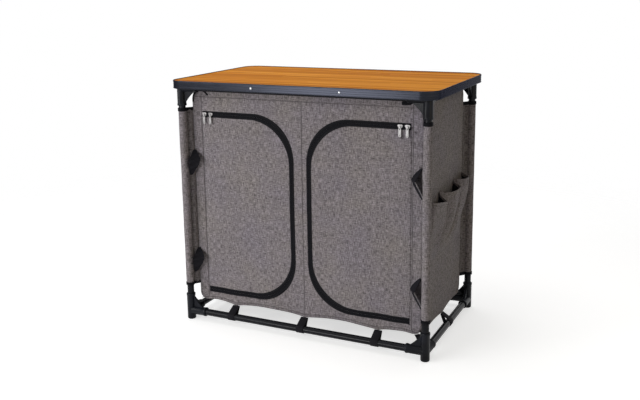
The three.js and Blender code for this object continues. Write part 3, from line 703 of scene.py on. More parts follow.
# geometry nodes: a small shape set along a line at an even pitch, used for stitches and rivets
def makeRowTree(name, shape):
    tree, entry = newGroup(name, [
        ("Geometry", "NodeSocketGeometry", None),
        ("Pitch", "NodeSocketFloat", 0.004),
        ("Length", "NodeSocketFloat", 0.0026),
        ("Radius", "NodeSocketFloat", 0.0004),
        ("Seed", "NodeSocketInt", 7),
        ("Finish", "NodeSocketMaterial", None),
    ], [("Geometry", "NodeSocketGeometry")], "GeometryNodeTree")
    curve = addNode(tree, "GeometryNodeMeshToCurve", {"Mesh": entry["Geometry"]}).outputs["Curve"]
    spread = addNode(tree, "GeometryNodeResampleCurve", {"Curve": curve, "Length": entry["Pitch"]}, mode="LENGTH")
    vary = addNode(tree, "FunctionNodeRandomValue", {2: 0.9, 3: 1.08, "Seed": entry["Seed"]}, data_type="FLOAT")
    spots = addNode(tree, "GeometryNodeInstanceOnPoints", {"Points": spread.outputs["Curve"], "Scale": vary.outputs[1]})
    if shape == "stitch":
        body = addNode(tree, "GeometryNodeMeshCylinder", {
            "Vertices": 6, "Radius": entry["Radius"], "Depth": entry["Length"]}).outputs["Mesh"]
        tangent = addNode(tree, "GeometryNodeInputTangent").outputs[0]
        turn = addNode(tree, "FunctionNodeAlignRotationToVector", {"Vector": tangent}, axis="Z")
        fillNode(tree, spots, {"Instance": body, "Rotation": turn.outputs[0]})
    else:
        body = addNode(tree, "GeometryNodeMeshUVSphere", {
            "Segments": 20, "Rings": 10, "Radius": entry["Radius"]}).outputs["Mesh"]
        flat = addNode(tree, "GeometryNodeTransform", {"Geometry": body, "Scale": (1, 0.42, 1)})
        fillNode(tree, spots, {"Instance": flat.outputs["Geometry"]})
    real = addNode(tree, "GeometryNodeRealizeInstances", {"Geometry": spots.outputs["Instances"]})
    finish = addNode(tree, "GeometryNodeSetMaterial", {
        "Geometry": real.outputs["Geometry"], "Material": entry["Finish"]})
    addNode(tree, "NodeGroupOutput", {"Geometry": finish.outputs["Geometry"]})
    return tree, {item.name: item.identifier for item in tree.interface.items_tree if item.in_out == "INPUT"}


def makeRow(name, lines, rowTree, values, material, body="cabinet"):
    points, edges = [], []
    for line in lines:
        start = len(points)
        points.extend(tuple(point) for point in line)
        edges.extend((start + step, start + step + 1) for step in range(len(line) - 1))
    mesh = bpy.data.meshes.new(name + "Line")
    mesh.from_pydata(points, edges, [])
    carrier = bpy.data.objects.new(name + "Line", mesh)
    scene.collection.objects.link(carrier)
    modifier = carrier.modifiers.new("row", "NODES")
    modifier.node_group, sockets = rowTree
    for key, value in {**values, "Finish": material}.items():
        modifier[sockets[key]] = value
    bpy.context.view_layer.update()
    baked = bpy.data.meshes.new_from_object(carrier.evaluated_get(bpy.context.evaluated_depsgraph_get()))
    carrier.modifiers.remove(modifier)
    bpy.data.objects.remove(carrier)
    baked.polygons.foreach_set("use_smooth", [True] * len(baked.polygons))
    placePiece(name, baked, body)


stitchTree = makeRowTree("stitchRow", "stitch")
rivetTree = makeRowTree("rivetRow", "rivet")
stitchLook = {"Pitch": 0.0042, "Length": 0.0030, "Radius": 0.00035}
rivets = {"left": -0.137, "right": 0.153, "height": 0.7865, "face": 0.2610, "radius": 0.0034}
rivetLines = [[(rivets[key], signY * rivets["face"], rivets["height"]) for key in ("left", "right")]
              for _, signY in ends]
# a pitch just under the rivets' distance sets one at each end of the line
makeRow("edge_rivets", rivetLines, rivetTree, {
    "Pitch": rivets["right"] - rivets["left"] - 0.001, "Radius": rivets["radius"]}, rivetMetal, "tabletop")
print("rivets made")

# cabinet cloth
cabinet = {
    "halfX": 0.3866, "front": 0.2015, "halfSide": 0.2006, "top": 0.770, "tall": 0.712, "hem": 0.058, "hemRise": 0.010,
    "topRadius": 0.034, "lowRadius": 0.024, "cell": 0.0075, "step": 0.008, "cloth": 0.0012,
    "straps": (-0.25, 0.0, 0.25), "sideStrap": 0.008,
    "hingeX": 0.352, "leftFree": 0.035, "rightFree": 0.024, "doorTop": 0.690, "doorBottom": 0.103, "doorTall": 0.587,
    "doorRadius": 0.140, "gap": 0.00025, "tape": 0.0094,
}
# how the stretched cloth bulges and folds, in metres, where it lies flat, and how strong this is on other panels
relief = {
    "belly": 0.0020, "bellyLow": 0.06, "bellyTall": 0.7, "broad": 0.0022, "fine": 0.0008, "folds": 0.0016,
    "foldHeights": (0.26, 0.07), "sideFade": 0.05, "topFade": 0.06, "hingeFade": 0.024,
    "sliderHeights": (0.63, 0.67), "sliderPlaces": (0.115, 0.155), "back": 0.8, "left": 0.7, "leftScale": 1.9,
    # grain across and up, and slice, of each noise, and the folds' wave
    "broadGrain": (5.2, 3.4, 1.7), "fineGrain": (16, 9, 5.1), "foldGrain": (6, 5, 0.4), "foldWave": 44, "foldBend": 2.2,
}
# the right side: slack above its pockets, with one slanting crease
slackSide = {
    "half": 0.1992, "sink": 0.0002, "slack": 0.0010, "drift": 0.0012, "sideFade": 0.03, "topFade": 0.05,
    "pocketHeights": (0.478, 0.505), "crease": 0.0014, "creaseHeight": 0.558, "creaseSlope": 0.27, "creaseWide": 0.006,
    "creasePlaces": (0.08, 0.0), "grain": (9, 6, 2.7),
}
doors = [(sideName, sign, cabinet[sideName + "Free"]) for sideName, sign in sides]


def waver(grain, across, up):
    return noise.noise(Vector((across * grain[0], up * grain[1], grain[2])))


def frontRelief(x, z):
    # how far the cloth stands in front of its plane, in metres, at x and z
    edge = smooth(0, relief["sideFade"], cabinet["halfX"] - abs(x)) * smooth(0, relief["topFade"], cabinet["top"] - z)
    # flat where the sliders run and on the doors' hinge lines
    slider = 1 - smooth(*relief["sliderHeights"], z) * smooth(*relief["sliderPlaces"], abs(x))
    hinge = smooth(0, relief["hingeFade"], abs(abs(x) - cabinet["hingeX"]))
    broad = relief["broad"] * waver(relief["broadGrain"], x, z)
    fine = relief["fine"] * waver(relief["fineGrain"], x, z)
    wave = math.sin(x * relief["foldWave"] + relief["foldBend"] * waver(relief["foldGrain"], x, z))
    folds = relief["folds"] * smooth(*relief["foldHeights"], z) * wave
    belly = relief["belly"] * math.sin(math.pi * min(max((z - relief["bellyLow"]) / relief["bellyTall"], 0), 1))
    return (belly + broad + fine + folds) * edge * slider * hinge


def frontSpot(x, z, lift=0.0):
    return (x, -cabinet["front"] - frontRelief(x, z) - lift, z)


def sideRelief(y, z, values=slackSide):
    edge = smooth(0, values["sideFade"], values["half"] - abs(y)) * smooth(0, values["topFade"], cabinet["top"] - z)
    edge *= smooth(*values["pocketHeights"], z)
    beside = z - values["creaseHeight"] - values["creaseSlope"] * y
    crease = math.exp(-(beside / values["creaseWide"]) ** 2) * smooth(*values["creasePlaces"], y)
    drift = values["drift"] * waver(values["grain"], y, z)
    return edge * (values["slack"] + values["crease"] * crease + drift)


def levelSpan(ring, height):
    # where a level line enters and leaves a ring without hollows
    hits = [start[0] + (end[0] - start[0]) * (height - start[1]) / (end[1] - start[1])
            for start, end in zip(ring, ring[1:] + ring[:1]) if (start[1] < height) != (end[1] < height)]
    return (min(hits), max(hits)) if hits else (0.0, 0.0)


def cutCloth(outline, holes, cell):
    # triangles over an outline with holes, with an even net of inner points
    points, edges, owners, borders = [], [], [], {}
    for order, ring in enumerate([outline, *holes]):
        start = len(points)
        owners.extend([order] * len(ring))
        points.extend(Vector(point) for point in ring)
        edges.extend((start + step, start + (step + 1) % len(ring)) for step in range(len(ring)))
    for point in points:
        borders.setdefault((int(point.x // cell), int(point.y // cell)), []).append(point)

    def isNearBorder(point):
        keyX, keyZ = int(point.x // cell), int(point.y // cell)
        return any((point - other).length < cell * 0.45
                   for i in (-1, 0, 1) for j in (-1, 0, 1) for other in borders.get((keyX + i, keyZ + j), ()))

    lowX, highX = min(point[0] for point in outline), max(point[0] for point in outline)
    lowZ, highZ = min(point[1] for point in outline), max(point[1] for point in outline)
    rows, columns = int((highZ - lowZ) / cell), int((highX - lowX) / cell)
    for row in range(1, rows):
        height = lowZ + row * (highZ - lowZ) / rows
        spans = [levelSpan(ring, height) for ring in holes]
        shift = 0.5 * cell * (row % 2)
        for column in range(1, columns):
            point = Vector((lowX + column * (highX - lowX) / columns + shift, height))
            if point.x < highX and not any(low < point.x < high for low, high in spans) and not isNearBorder(point):
                points.append(point)
    owners.extend([0] * (len(points) - len(owners)))
    flat, _, faces, sources, *_ = delaunay_2d_cdt(points, edges, [], 1, 1e-7)
    # a hole's triangles are those with all three corners on its ring
    rings = [{owners[sources[corner][0]] for corner in face} for face in faces]
    return flat, [face for face, ring in zip(faces, rings) if 0 in ring or len(ring) > 1]


def spaced(points, step, isClosed=True):
    # the same line with its points about a step apart
    result = []
    for start, end in zip(points, points[1:] + points[:1] if isClosed else points[1:]):
        count = max(1, round(math.dist(start, end) / step))
        result.extend((start[0] + (end[0] - start[0]) * part / count, start[1] + (end[1] - start[1]) * part / count)
                      for part in range(count))
    return result if isClosed else result + [points[-1]]


def arcPoints(centreX, centreZ, radius, start, end, count):
    turns = [start + (end - start) * step / count for step in range(count + 1)]
    return [(centreX + radius * math.cos(turn), centreZ + radius * math.sin(turn)) for turn in turns]


def hemPoints(half, anchors, count=14):
    # the lower hem rises a little between the straps that hold it down
    stops = [-half, *anchors, half]
    result = []
    for low, high in zip(stops, stops[1:]):
        for step in range(count):
            lift = cabinet["hemRise"] * math.sin(math.pi * (step / count)) ** 0.8
            result.append((low + (high - low) * (step / count), cabinet["hem"] + lift))
    return result + [(half, cabinet["hem"])]


def panelOutline(half, anchors):
    radius, lower = cabinet["topRadius"], cabinet["lowRadius"]
    hem = [(x, z) for x, z in hemPoints(half, anchors) if abs(x) < half - lower]
    foot, high = hem[0][1] + lower, cabinet["top"] - radius
    return (arcPoints(-half + lower, foot, lower, math.pi, 1.5 * math.pi, 8) + hem
            + arcPoints(half - lower, foot, lower, 1.5 * math.pi, 2 * math.pi, 8)
            + arcPoints(half - radius, high, radius, 0, math.pi / 2, 8)
            + arcPoints(-half + radius, high, radius, math.pi / 2, math.pi, 8))


def doorOutline(sign, free, grow, hingeGrow, count=22):
    # free is the door's free edge, beside the middle of the front
    radius = cabinet["doorRadius"] + grow
    low, high, edge = cabinet["doorBottom"] - grow, cabinet["doorTop"] + grow, free - grow
    hinge = cabinet["hingeX"] + hingeGrow
    upper = arcPoints(edge + radius, high - radius, radius, math.pi / 2, math.pi, count)
    lower = arcPoints(edge + radius, low + radius, radius, math.pi, 1.5 * math.pi, count)
    return [(sign * x, z) for x, z in [(hinge, high), *upper, *lower, (hinge, low)]]


def makeSheet(name, points, faces, uvs, material=clothGrey, body="cabinet", node=None,
              facing=None, thickness=cabinet["cloth"], offset=-1.0):
    obj = makePiece(name, points, faces, material, body, node, uvs, sharp=None)
    if facing and sum(polygon.normal.dot(Vector(facing)) * polygon.area for polygon in obj.data.polygons) < 0:
        obj.data.flip_normals()
    wall = obj.modifiers.new("clothThickness", "SOLIDIFY")
    wall.thickness, wall.offset, wall.use_even_offset = thickness, offset, True
    return obj


def makePanel(name, node, outline, holes, cell, place, facing, body="cabinet"):
    # a flat cut of cloth, put on the cabinet by place(across, up)
    cut, faces = cutCloth(outline, holes, cell)
    points = [place(point[0], point[1]) for point in cut]
    makeSheet(name, points, faces, [tuple(point) for point in cut], body=body, node=node, facing=facing)


gap, step = cabinet["gap"], cabinet["step"]
outline = spaced(panelOutline(cabinet["halfX"], cabinet["straps"]), step)
openings = [spaced(doorOutline(sign, free, gap, gap), step) for _, sign, free in doors]
makePanel("front_cloth", "panel_front", outline, openings, cabinet["cell"], frontSpot,
          (0, -1, 0))
for sideName, sign, free in doors:
    outline = spaced(doorOutline(sign, free, -gap, -gap), step)
    makePanel(f"door_cloth_{sideName}", f"door_{sideName}", outline, [], cabinet["cell"], frontSpot,
              (0, -1, 0), f"door_{sideName}")
print("front cloth made")


# a band laid along a line: the section's points are (across, up) in metres, swell widens it at each point
def bandAlong(name, path, across, up, section, material, body="cabinet", node=None, swell=None):
    path = [Vector(point) for point in path]
    points, uvs = [], []
    travel = 0.0
    for index, point in enumerate(path):
        if index:
            travel += (point - path[index - 1]).length
        around = 0.0
        for order, (side, height) in enumerate(section):
            if order:
                around += math.dist(section[order], section[order - 1])
            wide = side * (swell[index] if swell else 1)
            points.append(point + Vector(across[index]) * wide + Vector(up[index]) * height)
            uvs.append((travel, around))
    faces = netFaces(len(path), len(section)) + endFaces(len(path), len(section))
    cleanMesh(makePiece(name, points, faces, material, body, node, uvs, 50).data)


# zip tapes: one on the panel round each opening, one on the door
zips = {
    "height": 0.690, "face": 0.2023, "bar": 0.2076, "hinge": 0.352, "left": (0.0105, 0.0330), "right": (0.0125, 0.0350),
    "bodyHalf": 0.0017, "bodyRound": 0.0006, "tabHalf": 0.0008, "tabRound": 0.0003, "tab": 0.0310, "tabWide": 0.0084,
    "tabEnd": 0.0040, "neck": 0.0046, "hole": 0.0013, "slot": 0.0010, "play": 0.0004, "bridge": 0.0030, "wire": 0.0009,
    "slotHigh": -0.0062, "slotLow": -0.0092, "merge": 0.00002,
    "tapeBase": 0.0009, "tapeCrown": 0.0005, "tapeSink": 0.0002, "tapeStep": 0.006, "setBack": 0.0025,
    # width of the tapes where they run up, and what they gain where they run level and round the curves
    "tapeWide": 0.76, "tapeLevel": 0.26, "tapeCurved": 0.62,
    # right half of the slider's outline, and the start of the tab's
    "sliderLine": [(0.0, 0.0058), (0.0044, 0.0057), (0.0074, 0.0045), (0.0082, 0.0022), (0.0074, -0.0004),
                   (0.0060, -0.0022), (0.0054, -0.0044), (0.0040, -0.0055), (0.0, -0.0056)],
    "tabLine": [(0.0, 0.0024), (0.0014, 0.0022)],
}


def crownSection(low, high, base, crown, steps=6):
    # a flat-backed strip whose face is gently crowned
    result = [(low, 0.0), (low, base)]
    for step in range(1, steps):
        share = step / steps
        result.append((low + (high - low) * share, base + crown * math.sin(math.pi * share)))
    return result + [(high, base), (high, 0.0)]


def openOutline(sign, free, grow, setBack):
    # the door's outline without its hinge side
    return spaced(doorOutline(sign, free, grow, -setBack, 26), zips["tapeStep"], False)


def makeTape(name, sign, free, outward, body):
    ring = openOutline(sign, free, gap * outward, zips["setBack"])
    # outward of the opening is to the side of the heading that the door's sign gives
    across = [Vector((heading.z, 0, -heading.x)) * sign * outward
              for heading in headings([Vector((x, 0, z)) for x, z in ring])]
    swell = [zips["tapeWide"] + zips["tapeLevel"] * abs(side.z) + zips["tapeCurved"] * abs(side.x * side.z)
             for side in across]
    section = crownSection(0.0, cabinet["tape"], zips["tapeBase"], zips["tapeCrown"])
    path = [frontSpot(x, z, -zips["tapeSink"]) for x, z in ring]
    bandAlong(name, path, across, [(0, -1, 0)] * len(path), section, tapeBlack, body=body, swell=swell)


for sideName, sign, free in doors:
    makeTape(f"zip_tape_panel_{sideName}", sign, free, 1, "cabinet")
    makeTape(f"zip_tape_door_{sideName}", sign, free, -1, f"door_{sideName}")
print("zip tapes made")

# back and side cloth: half width, strap places, cell, way it faces and relief of each
for sideName, half, anchors, cell, facing, place in (
        ("back", cabinet["halfX"], cabinet["straps"], 0.009, (0, 1, 0),
         lambda x, z: (x, cabinet["front"] + frontRelief(-x, z) * relief["back"], z)),
        ("left", cabinet["halfSide"], (cabinet["sideStrap"],), 0.009, (-1, 0, 0),
         lambda y, z: (-cabinet["halfX"] - frontRelief(y * relief["leftScale"], z) * relief["left"], y, z)),
        ("right", cabinet["halfSide"], (cabinet["sideStrap"],), 0.006, (1, 0, 0),
         lambda y, z: (cabinet["halfX"] - slackSide["sink"] + sideRelief(y, z), y, z))):
    makePanel(f"{sideName}_cloth", f"panel_{sideName}", spaced(panelOutline(half, anchors), cell), [], cell, place,
              facing)
print("cabinet cloth made")

# leg sleeves, their wings and their bound ends
sleeves = {
    "low": 0.118, "high": 0.711, "radius": 0.0122, "cloth": 0.0010, "lap": 0.001, "rows": 74, "ring": 32,
    "inset": 0.004, "tall": 0.585, "slack": 0.0005, "drift": 0.0006,
    "insetX": 0.0214, "insetY": 0.0275, "columns": 8, "wingStart": 0.0004, "wingInset": 0.003, "wingTall": 0.59,
    "wingSpare": 1.08, "sag": 0.0034, "sway": 0.0042, "ripple": 0.0030, "fade": 0.03,
    # grain of each noise, round or across the cloth and up it
    "driftGrain": (1.2, 14), "swayGrain": (0.8, 11), "rippleGrain": (2.4, 34), "rippleLean": 3,
    "binding": 0.011, "bindingOut": 0.0020, "bindingIn": 0.0003, "bindingEdge": 0.0012, "flap": 0.0014, "segments": 40,
}


def makeSleeve(label, signX, signY, values):
    centre = Vector((signX * corners["legX"], signY * corners["legY"], 0))
    toward = Vector((-signX * values["insetX"], -signY * values["insetY"], 0))
    heading, span = toward.normalized(), toward.length
    across = Vector((-heading.y, heading.x, 0))
    seed = 3.1 * signX + 1.7 * signY
    rows, ring, columns, radius = values["rows"], values["ring"], values["columns"], values["radius"]
    points, uvs = [], []
    around, rise = values["driftGrain"]
    for row in range(rows + 1):
        z = values["low"] + values["inset"] + (values["high"] - values["low"] - 2 * values["inset"]) * row / rows
        for step in range(ring):
            angle = 2 * math.pi * step / ring
            drift = noise.noise(Vector((math.cos(angle) * around + seed, math.sin(angle) * around, z * rise)))
            reach = radius + max(values["slack"] + values["drift"] * drift, 0.0)
            points.append(centre + (heading * math.cos(angle) + across * math.sin(angle)) * reach + Vector((0, 0, z)))
            uvs.append((angle * radius, z))
    makeSheet(f"sleeve_cloth_{label}", points, netFaces(rows + 1, ring), uvs,
              node=f"sleeve_{label}", thickness=values["cloth"])
    # the wing hangs a little slack between the sleeve and the cabinet's corner
    points, uvs = [], []
    start, inset, fade = radius + values["wingStart"], values["wingInset"], values["fade"]
    (swayAcross, swayUp), (rippleAcross, rippleUp) = values["swayGrain"], values["rippleGrain"]
    for row in range(rows + 1):
        z = values["low"] + inset + (values["high"] - values["low"] - 2 * inset) * row / rows
        for column in range(columns + 1):
            share = column / columns
            slack = math.sin(math.pi * share) * smooth(0, fade, z - values["low"]) * smooth(0, fade, values["high"] - z)
            broad = noise.noise(Vector((seed, share * swayAcross, z * swayUp)))
            fine = noise.noise(Vector((seed + 4, share * rippleAcross, z * rippleUp + share * values["rippleLean"])))
            sway = slack * (-values["sag"] + values["sway"] * broad + values["ripple"] * fine)
            reach = start + (span - start) * share
            points.append(centre + heading * reach + across * sway * signX * signY + Vector((0, 0, z)))
            uvs.append((reach, z))
    # the wing's cloth is darker than the panels' cloth: painted shade
    makeSheet(f"wing_cloth_{label}", points, netFaces(rows + 1, columns + 1, isRing=False), uvs,
              paintedShadeWingCloth, offset=0.0)
    # bound ends: a folded black tape round the sleeve and along the wing's end
    inner, outer, edge = corners["tube"] + values["bindingIn"], radius + values["bindingOut"], values["bindingEdge"]
    segments = values["segments"]
    for levelName, low in (("low", values["low"]), ("high", values["high"] - values["binding"])):
        high = low + values["binding"]
        profile = [(inner, low + edge), (inner + edge, low), (outer - edge, low), (outer, low + edge),
                   (outer, high - edge), (outer - edge, high), (inner + edge, high), (inner, high - edge)]
        turns = [2 * math.pi * step / segments for step in range(segments)]
        points = [centre + Vector((reach * math.cos(turn), reach * math.sin(turn), height))
                  for reach, height in profile for turn in turns]
        uvs = [(math.atan2((point - centre).y, (point - centre).x) * outer, point.z) for point in points]
        faces = netFaces(len(profile), segments, isClosed=True)
        first = len(points)
        for reach in (radius, span):
            for side in (-values["flap"], values["flap"]):
                for height in (low, high):
                    points.append(centre + heading * reach + across * side + Vector((0, 0, height)))
                    uvs.append((reach, height))
        for quad in ((0, 1, 3, 2), (4, 6, 7, 5), (0, 4, 5, 1), (2, 3, 7, 6), (1, 5, 7, 3), (0, 2, 6, 4)):
            faces.append(tuple(first + corner for corner in quad))
        cuff = makePiece(f"cuff_{levelName}_{label}", points, faces, bindingBlack, uvs=uvs, sharp=40)
        cleanMesh(cuff.data)


for endName, sideName, signX, signY in legPlaces:
    makeSleeve(f"{endName}_{sideName}", signX, signY, sleeves)
print("leg sleeves made")

# straps round the lower rails: doubled webbing from the hem, round the rail and back
straps = {
    "width": 0.025, "thick": 0.0014, "play": 0.0004, "hem": 0.0575, "tuck": 0.001, "chamfer": 0.0005,
    "apart": 0.55, "edge": 0.6, "steps": 34, "lead": 5,
}


def makeStrap(label, anchor, inward, acrossAxis):
    # anchor is the rail's axis point; inward points from the rail to the cabinet
    inward, acrossAxis = Vector(inward), Vector(acrossAxis)
    radius = corners["tube"] + straps["play"] + straps["thick"] / 2
    reach = corners["legY"] - cabinet["front"] if abs(inward.y) > 0 else corners["legX"] - cabinet["halfX"]
    tip = (reach + straps["tuck"], straps["hem"] - corners["lowerHeight"])
    aim = math.atan2(tip[1], tip[0])
    spread = math.acos(radius / math.hypot(*tip))
    loop = arcPoints(0, 0, radius, aim + spread, aim + 2 * math.pi - spread, straps["steps"])
    apart = [part * straps["thick"] * straps["apart"] for part in (-math.sin(aim), math.cos(aim))]

    def between(end, share, side):
        # on the strap's way from the hem to one end of its turn round the rail
        return tuple(tip[axis] + (end[axis] - tip[axis]) * share + side * apart[axis] * (1 - share) for axis in (0, 1))

    lead = straps["lead"]
    line = [between(loop[0], part / lead, 1) for part in range(lead)] + loop
    line += [between(loop[-1], 1 - part / lead, -1) for part in range(1, lead + 1)]
    path = [Vector(anchor) + inward * u + Vector((0, 0, v)) for u, v in line]
    up = [heading.cross(acrossAxis).normalized() for heading in headings(path)]
    half, thick, chamfer = straps["width"] / 2, straps["thick"] / 2, straps["chamfer"]
    edge = thick * straps["edge"]
    section = [(-half, -edge), (-half + chamfer, -thick), (half - chamfer, -thick), (half, -edge),
               (half, edge), (half - chamfer, thick), (-half + chamfer, thick), (-half, edge)]
    bandAlong(f"strap_web_{label}", path, [acrossAxis] * len(path), up, section, webbingBlack, node=f"strap_{label}")


height = corners["lowerHeight"]
for endName, signY in ends:
    for place, x in zip(("left", "middle", "right"), cabinet["straps"]):
        makeStrap(f"{endName}_{place}", (x, signY * corners["legY"], height), (0, -signY, 0), (1, 0, 0))
for sideName, signX in sides:
    makeStrap(sideName, (signX * corners["legX"], cabinet["sideStrap"], height), (-signX, 0, 0), (0, 1, 0))
print("straps made")

# short straps that tie the cabinet's lower corners to the corner mouldings
ties = {
    "width": 0.020, "thick": 0.0014, "swell": [1.15, 1.1, 1.0, 0.9, 0.8, 0.75],
    # the one at the near corner of the picture starts this much nearer to the leg
    "tuck": 0.010, "tucked": [1.0, 0.7, 0.4, 0.0, 0.0, 0.0],
    "path": [(0.3645, 0.196, 0.0640), (0.3715, 0.2005, 0.0620), (0.379, 0.2065, 0.0580), (0.388, 0.2135, 0.0525),
             (0.3955, 0.2195, 0.0470), (0.4005, 0.2235, 0.0415)],
}
# bound straps over the cabinet's upper corners: where they run out as (x, drop), and how much they widen there
topTies = {
    "inset": 0.0030, "below": 0.008, "lift": 0.0004,
    "section": [(-0.0028, 0.0), (-0.0026, 0.0010), (0.0026, 0.0010), (0.0028, 0.0)],
    "tail": [(0.346, 0.0050), (0.338, 0.0100), (0.328, 0.0190)],
    "wideTail": [(0.356, 0.0085), (0.345, 0.0125), (0.333, 0.0135), (0.321, 0.0140)], "wideSwell": [1.4, 2.0, 2.1, 1.9],
}


def makeTie(name, signX, signY, values):
    tuck = values["tuck"] if signX > 0 > signY else 0.0
    path = [Vector((signX * (x + share * tuck), signY * y, z))
            for share, (x, y, z) in zip(values["tucked"], values["path"])]
    half, thick = values["width"] / 2, values["thick"] / 2
    across = [Vector((-heading.y, heading.x, 0)).normalized() for heading in headings(path)]
    up = [heading.cross(flat).normalized() for heading, flat in zip(headings(path), across)]
    section = [(-half, -thick), (half, -thick), (half, thick), (-half, thick)]
    bandAlong(name, path, across, up, section, webbingBlack, swell=values["swell"])


def makeTopTie(name, signX, signY, values):
    radius, inset = cabinet["topRadius"], values["inset"]
    isWide = signX > 0 > signY
    tail = values["wideTail"] if isWide else values["tail"]
    spots = [(cabinet["halfX"] - inset, cabinet["top"] - radius - values["below"])]
    spots += arcPoints(cabinet["halfX"] - radius, cabinet["top"] - radius, radius - inset, 0, math.pi / 2, 10)
    spots += [(x, cabinet["top"] - drop) for x, drop in tail]
    swell = [1.0] * (len(spots) - 4) + (values["wideSwell"] if isWide else [1.0] * 4)
    path = []
    for x, z in spots:
        proud = frontRelief(x, z) if signY < 0 else 0
        path.append(Vector((signX * x, signY * (cabinet["front"] + proud + values["lift"]), z)))
    across = [heading.cross(Vector((0, 1, 0))).normalized() for heading in headings(path)]
    bandAlong(name, path, across, [Vector((0, signY, 0))] * len(path), values["section"], bindingBlack, swell=swell)


for makeOne, label, values in ((makeTie, "corner_tie", ties), (makeTopTie, "top_tie", topTies)):
    for endName, sideName, signX, signY in legPlaces:
        makeOne(f"{label}_{endName}_{sideName}", signX, signY, values)

# wide loops on the front corners, with what differs between the left and the right ones
loops = {
    "left": {"turn": 36, "reach": 0.034, "nest": 0.0, "height": 0.081, "raise": 0.006, "crumple": 0.0016},
    "right": {"turn": 55, "reach": 0.031, "nest": 0.24, "height": 0.094, "raise": 0.0, "crumple": 0.0},
    "upper": 0.5258, "lower": 0.1961, "peak": 0.14, "end": 0.008, "play": 0.0006, "wide": 0.038, "thick": 0.0014,
    "cup": 0.0036, "round": 0.4, "crumpleWide": 0.012, "crumpleAlong": 0.9, "crumpleAcross": 2.2,
    "steps": 15, "pitch": 0.0035, "lean": 0.42,
}


def makeLoop(levelName, sideName, signX, values):
    own = values[sideName]
    corner = Vector((signX * cabinet["halfX"], -cabinet["front"], values[levelName] + own["raise"]))
    turn = math.radians(own["turn"])
    outward = Vector((-signX * math.sin(turn), -math.cos(turn), 0))
    side = Vector((-outward.y, outward.x, 0))
    wing = Vector((signX * sleeves["insetX"], -sleeves["insetY"], 0)) * values["lean"]
    peak = own["height"] * values["peak"]
    start = values["end"] / 2 + values["play"]
    steps, wide = values["steps"], values["wide"]
    rows = []
    for step in range(2 * steps + 1):
        isUpper = step <= steps
        share = step / steps if isUpper else 2 - step / steps
        swell = (1 - values["round"]) * share + values["round"] * math.sin(math.pi / 2 * share)
        end = own["height"] / 2 if isUpper else -own["height"] / 2
        lean = 0.5 * share if isUpper else 1 - 0.5 * share
        rows.append((start + (own["reach"] - start) * swell, end + (peak - end) * share,
                     (values["end"] + (wide - values["end"]) * swell) / 2, lean ** 2))
    shares = (-1, -0.6, -0.2, 0.2, 0.6, 1)
    section = [(share, -1) for share in shares] + [(share, 1) for share in reversed(shares)]
    points, uvs = [], []
    directions = headings([Vector(row[:2]) for row in rows])
    for index, (heading, (reach, height, half, lean)) in enumerate(zip(directions, rows)):
        for across, lift in section:
            # the webbing cups a little across its width, and the left ones are crumpled
            wave = math.sin(index * values["crumpleAlong"] + across * values["crumpleAcross"])
            crumple = own["crumple"] * wave * min(half / values["crumpleWide"], 1)
            offset = lift * values["thick"] / 2 - values["cup"] * (1 - across * across) * (half / wide) + crumple
            spot = corner + wing * lean + outward * (reach - heading.y * offset) + side * (across * half)
            drawn = peak + (height - peak) * (1 - own["nest"] * (1 + across) * half / wide * 2)
            points.append(spot + Vector((0, 0, drawn + heading.x * offset)))
            uvs.append(((index + 1) * values["pitch"], across * half))
    ring = len(section)
    faces = netFaces(len(rows), ring) + endFaces(len(rows), ring)
    obj = makePiece(f"loop_web_{levelName}_{sideName}", points, faces, webbingBlack,
                    node=f"loop_{levelName}_{sideName}", uvs=uvs, sharp=60)
    # the right loops get a pale cloth on their lower leg's inner face near the rim: painted light
    obj.data.materials.append(paintedLightLoopCloth)
    inside = len(shares) - 1
    for polygon in obj.data.polygons:
        row, order = divmod(polygon.index, ring)
        isPaintedLight = signX > 0 and abs(order - inside) <= 1 and steps <= row < 2 * steps - 1
        polygon.material_index = 1 if isPaintedLight else 0
    cleanMesh(obj.data)
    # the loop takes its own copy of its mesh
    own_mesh(obj)


for sideName, signX in sides:
    for levelName in ("upper", "lower"):
        makeLoop(levelName, sideName, signX, loops)
print("loops made")

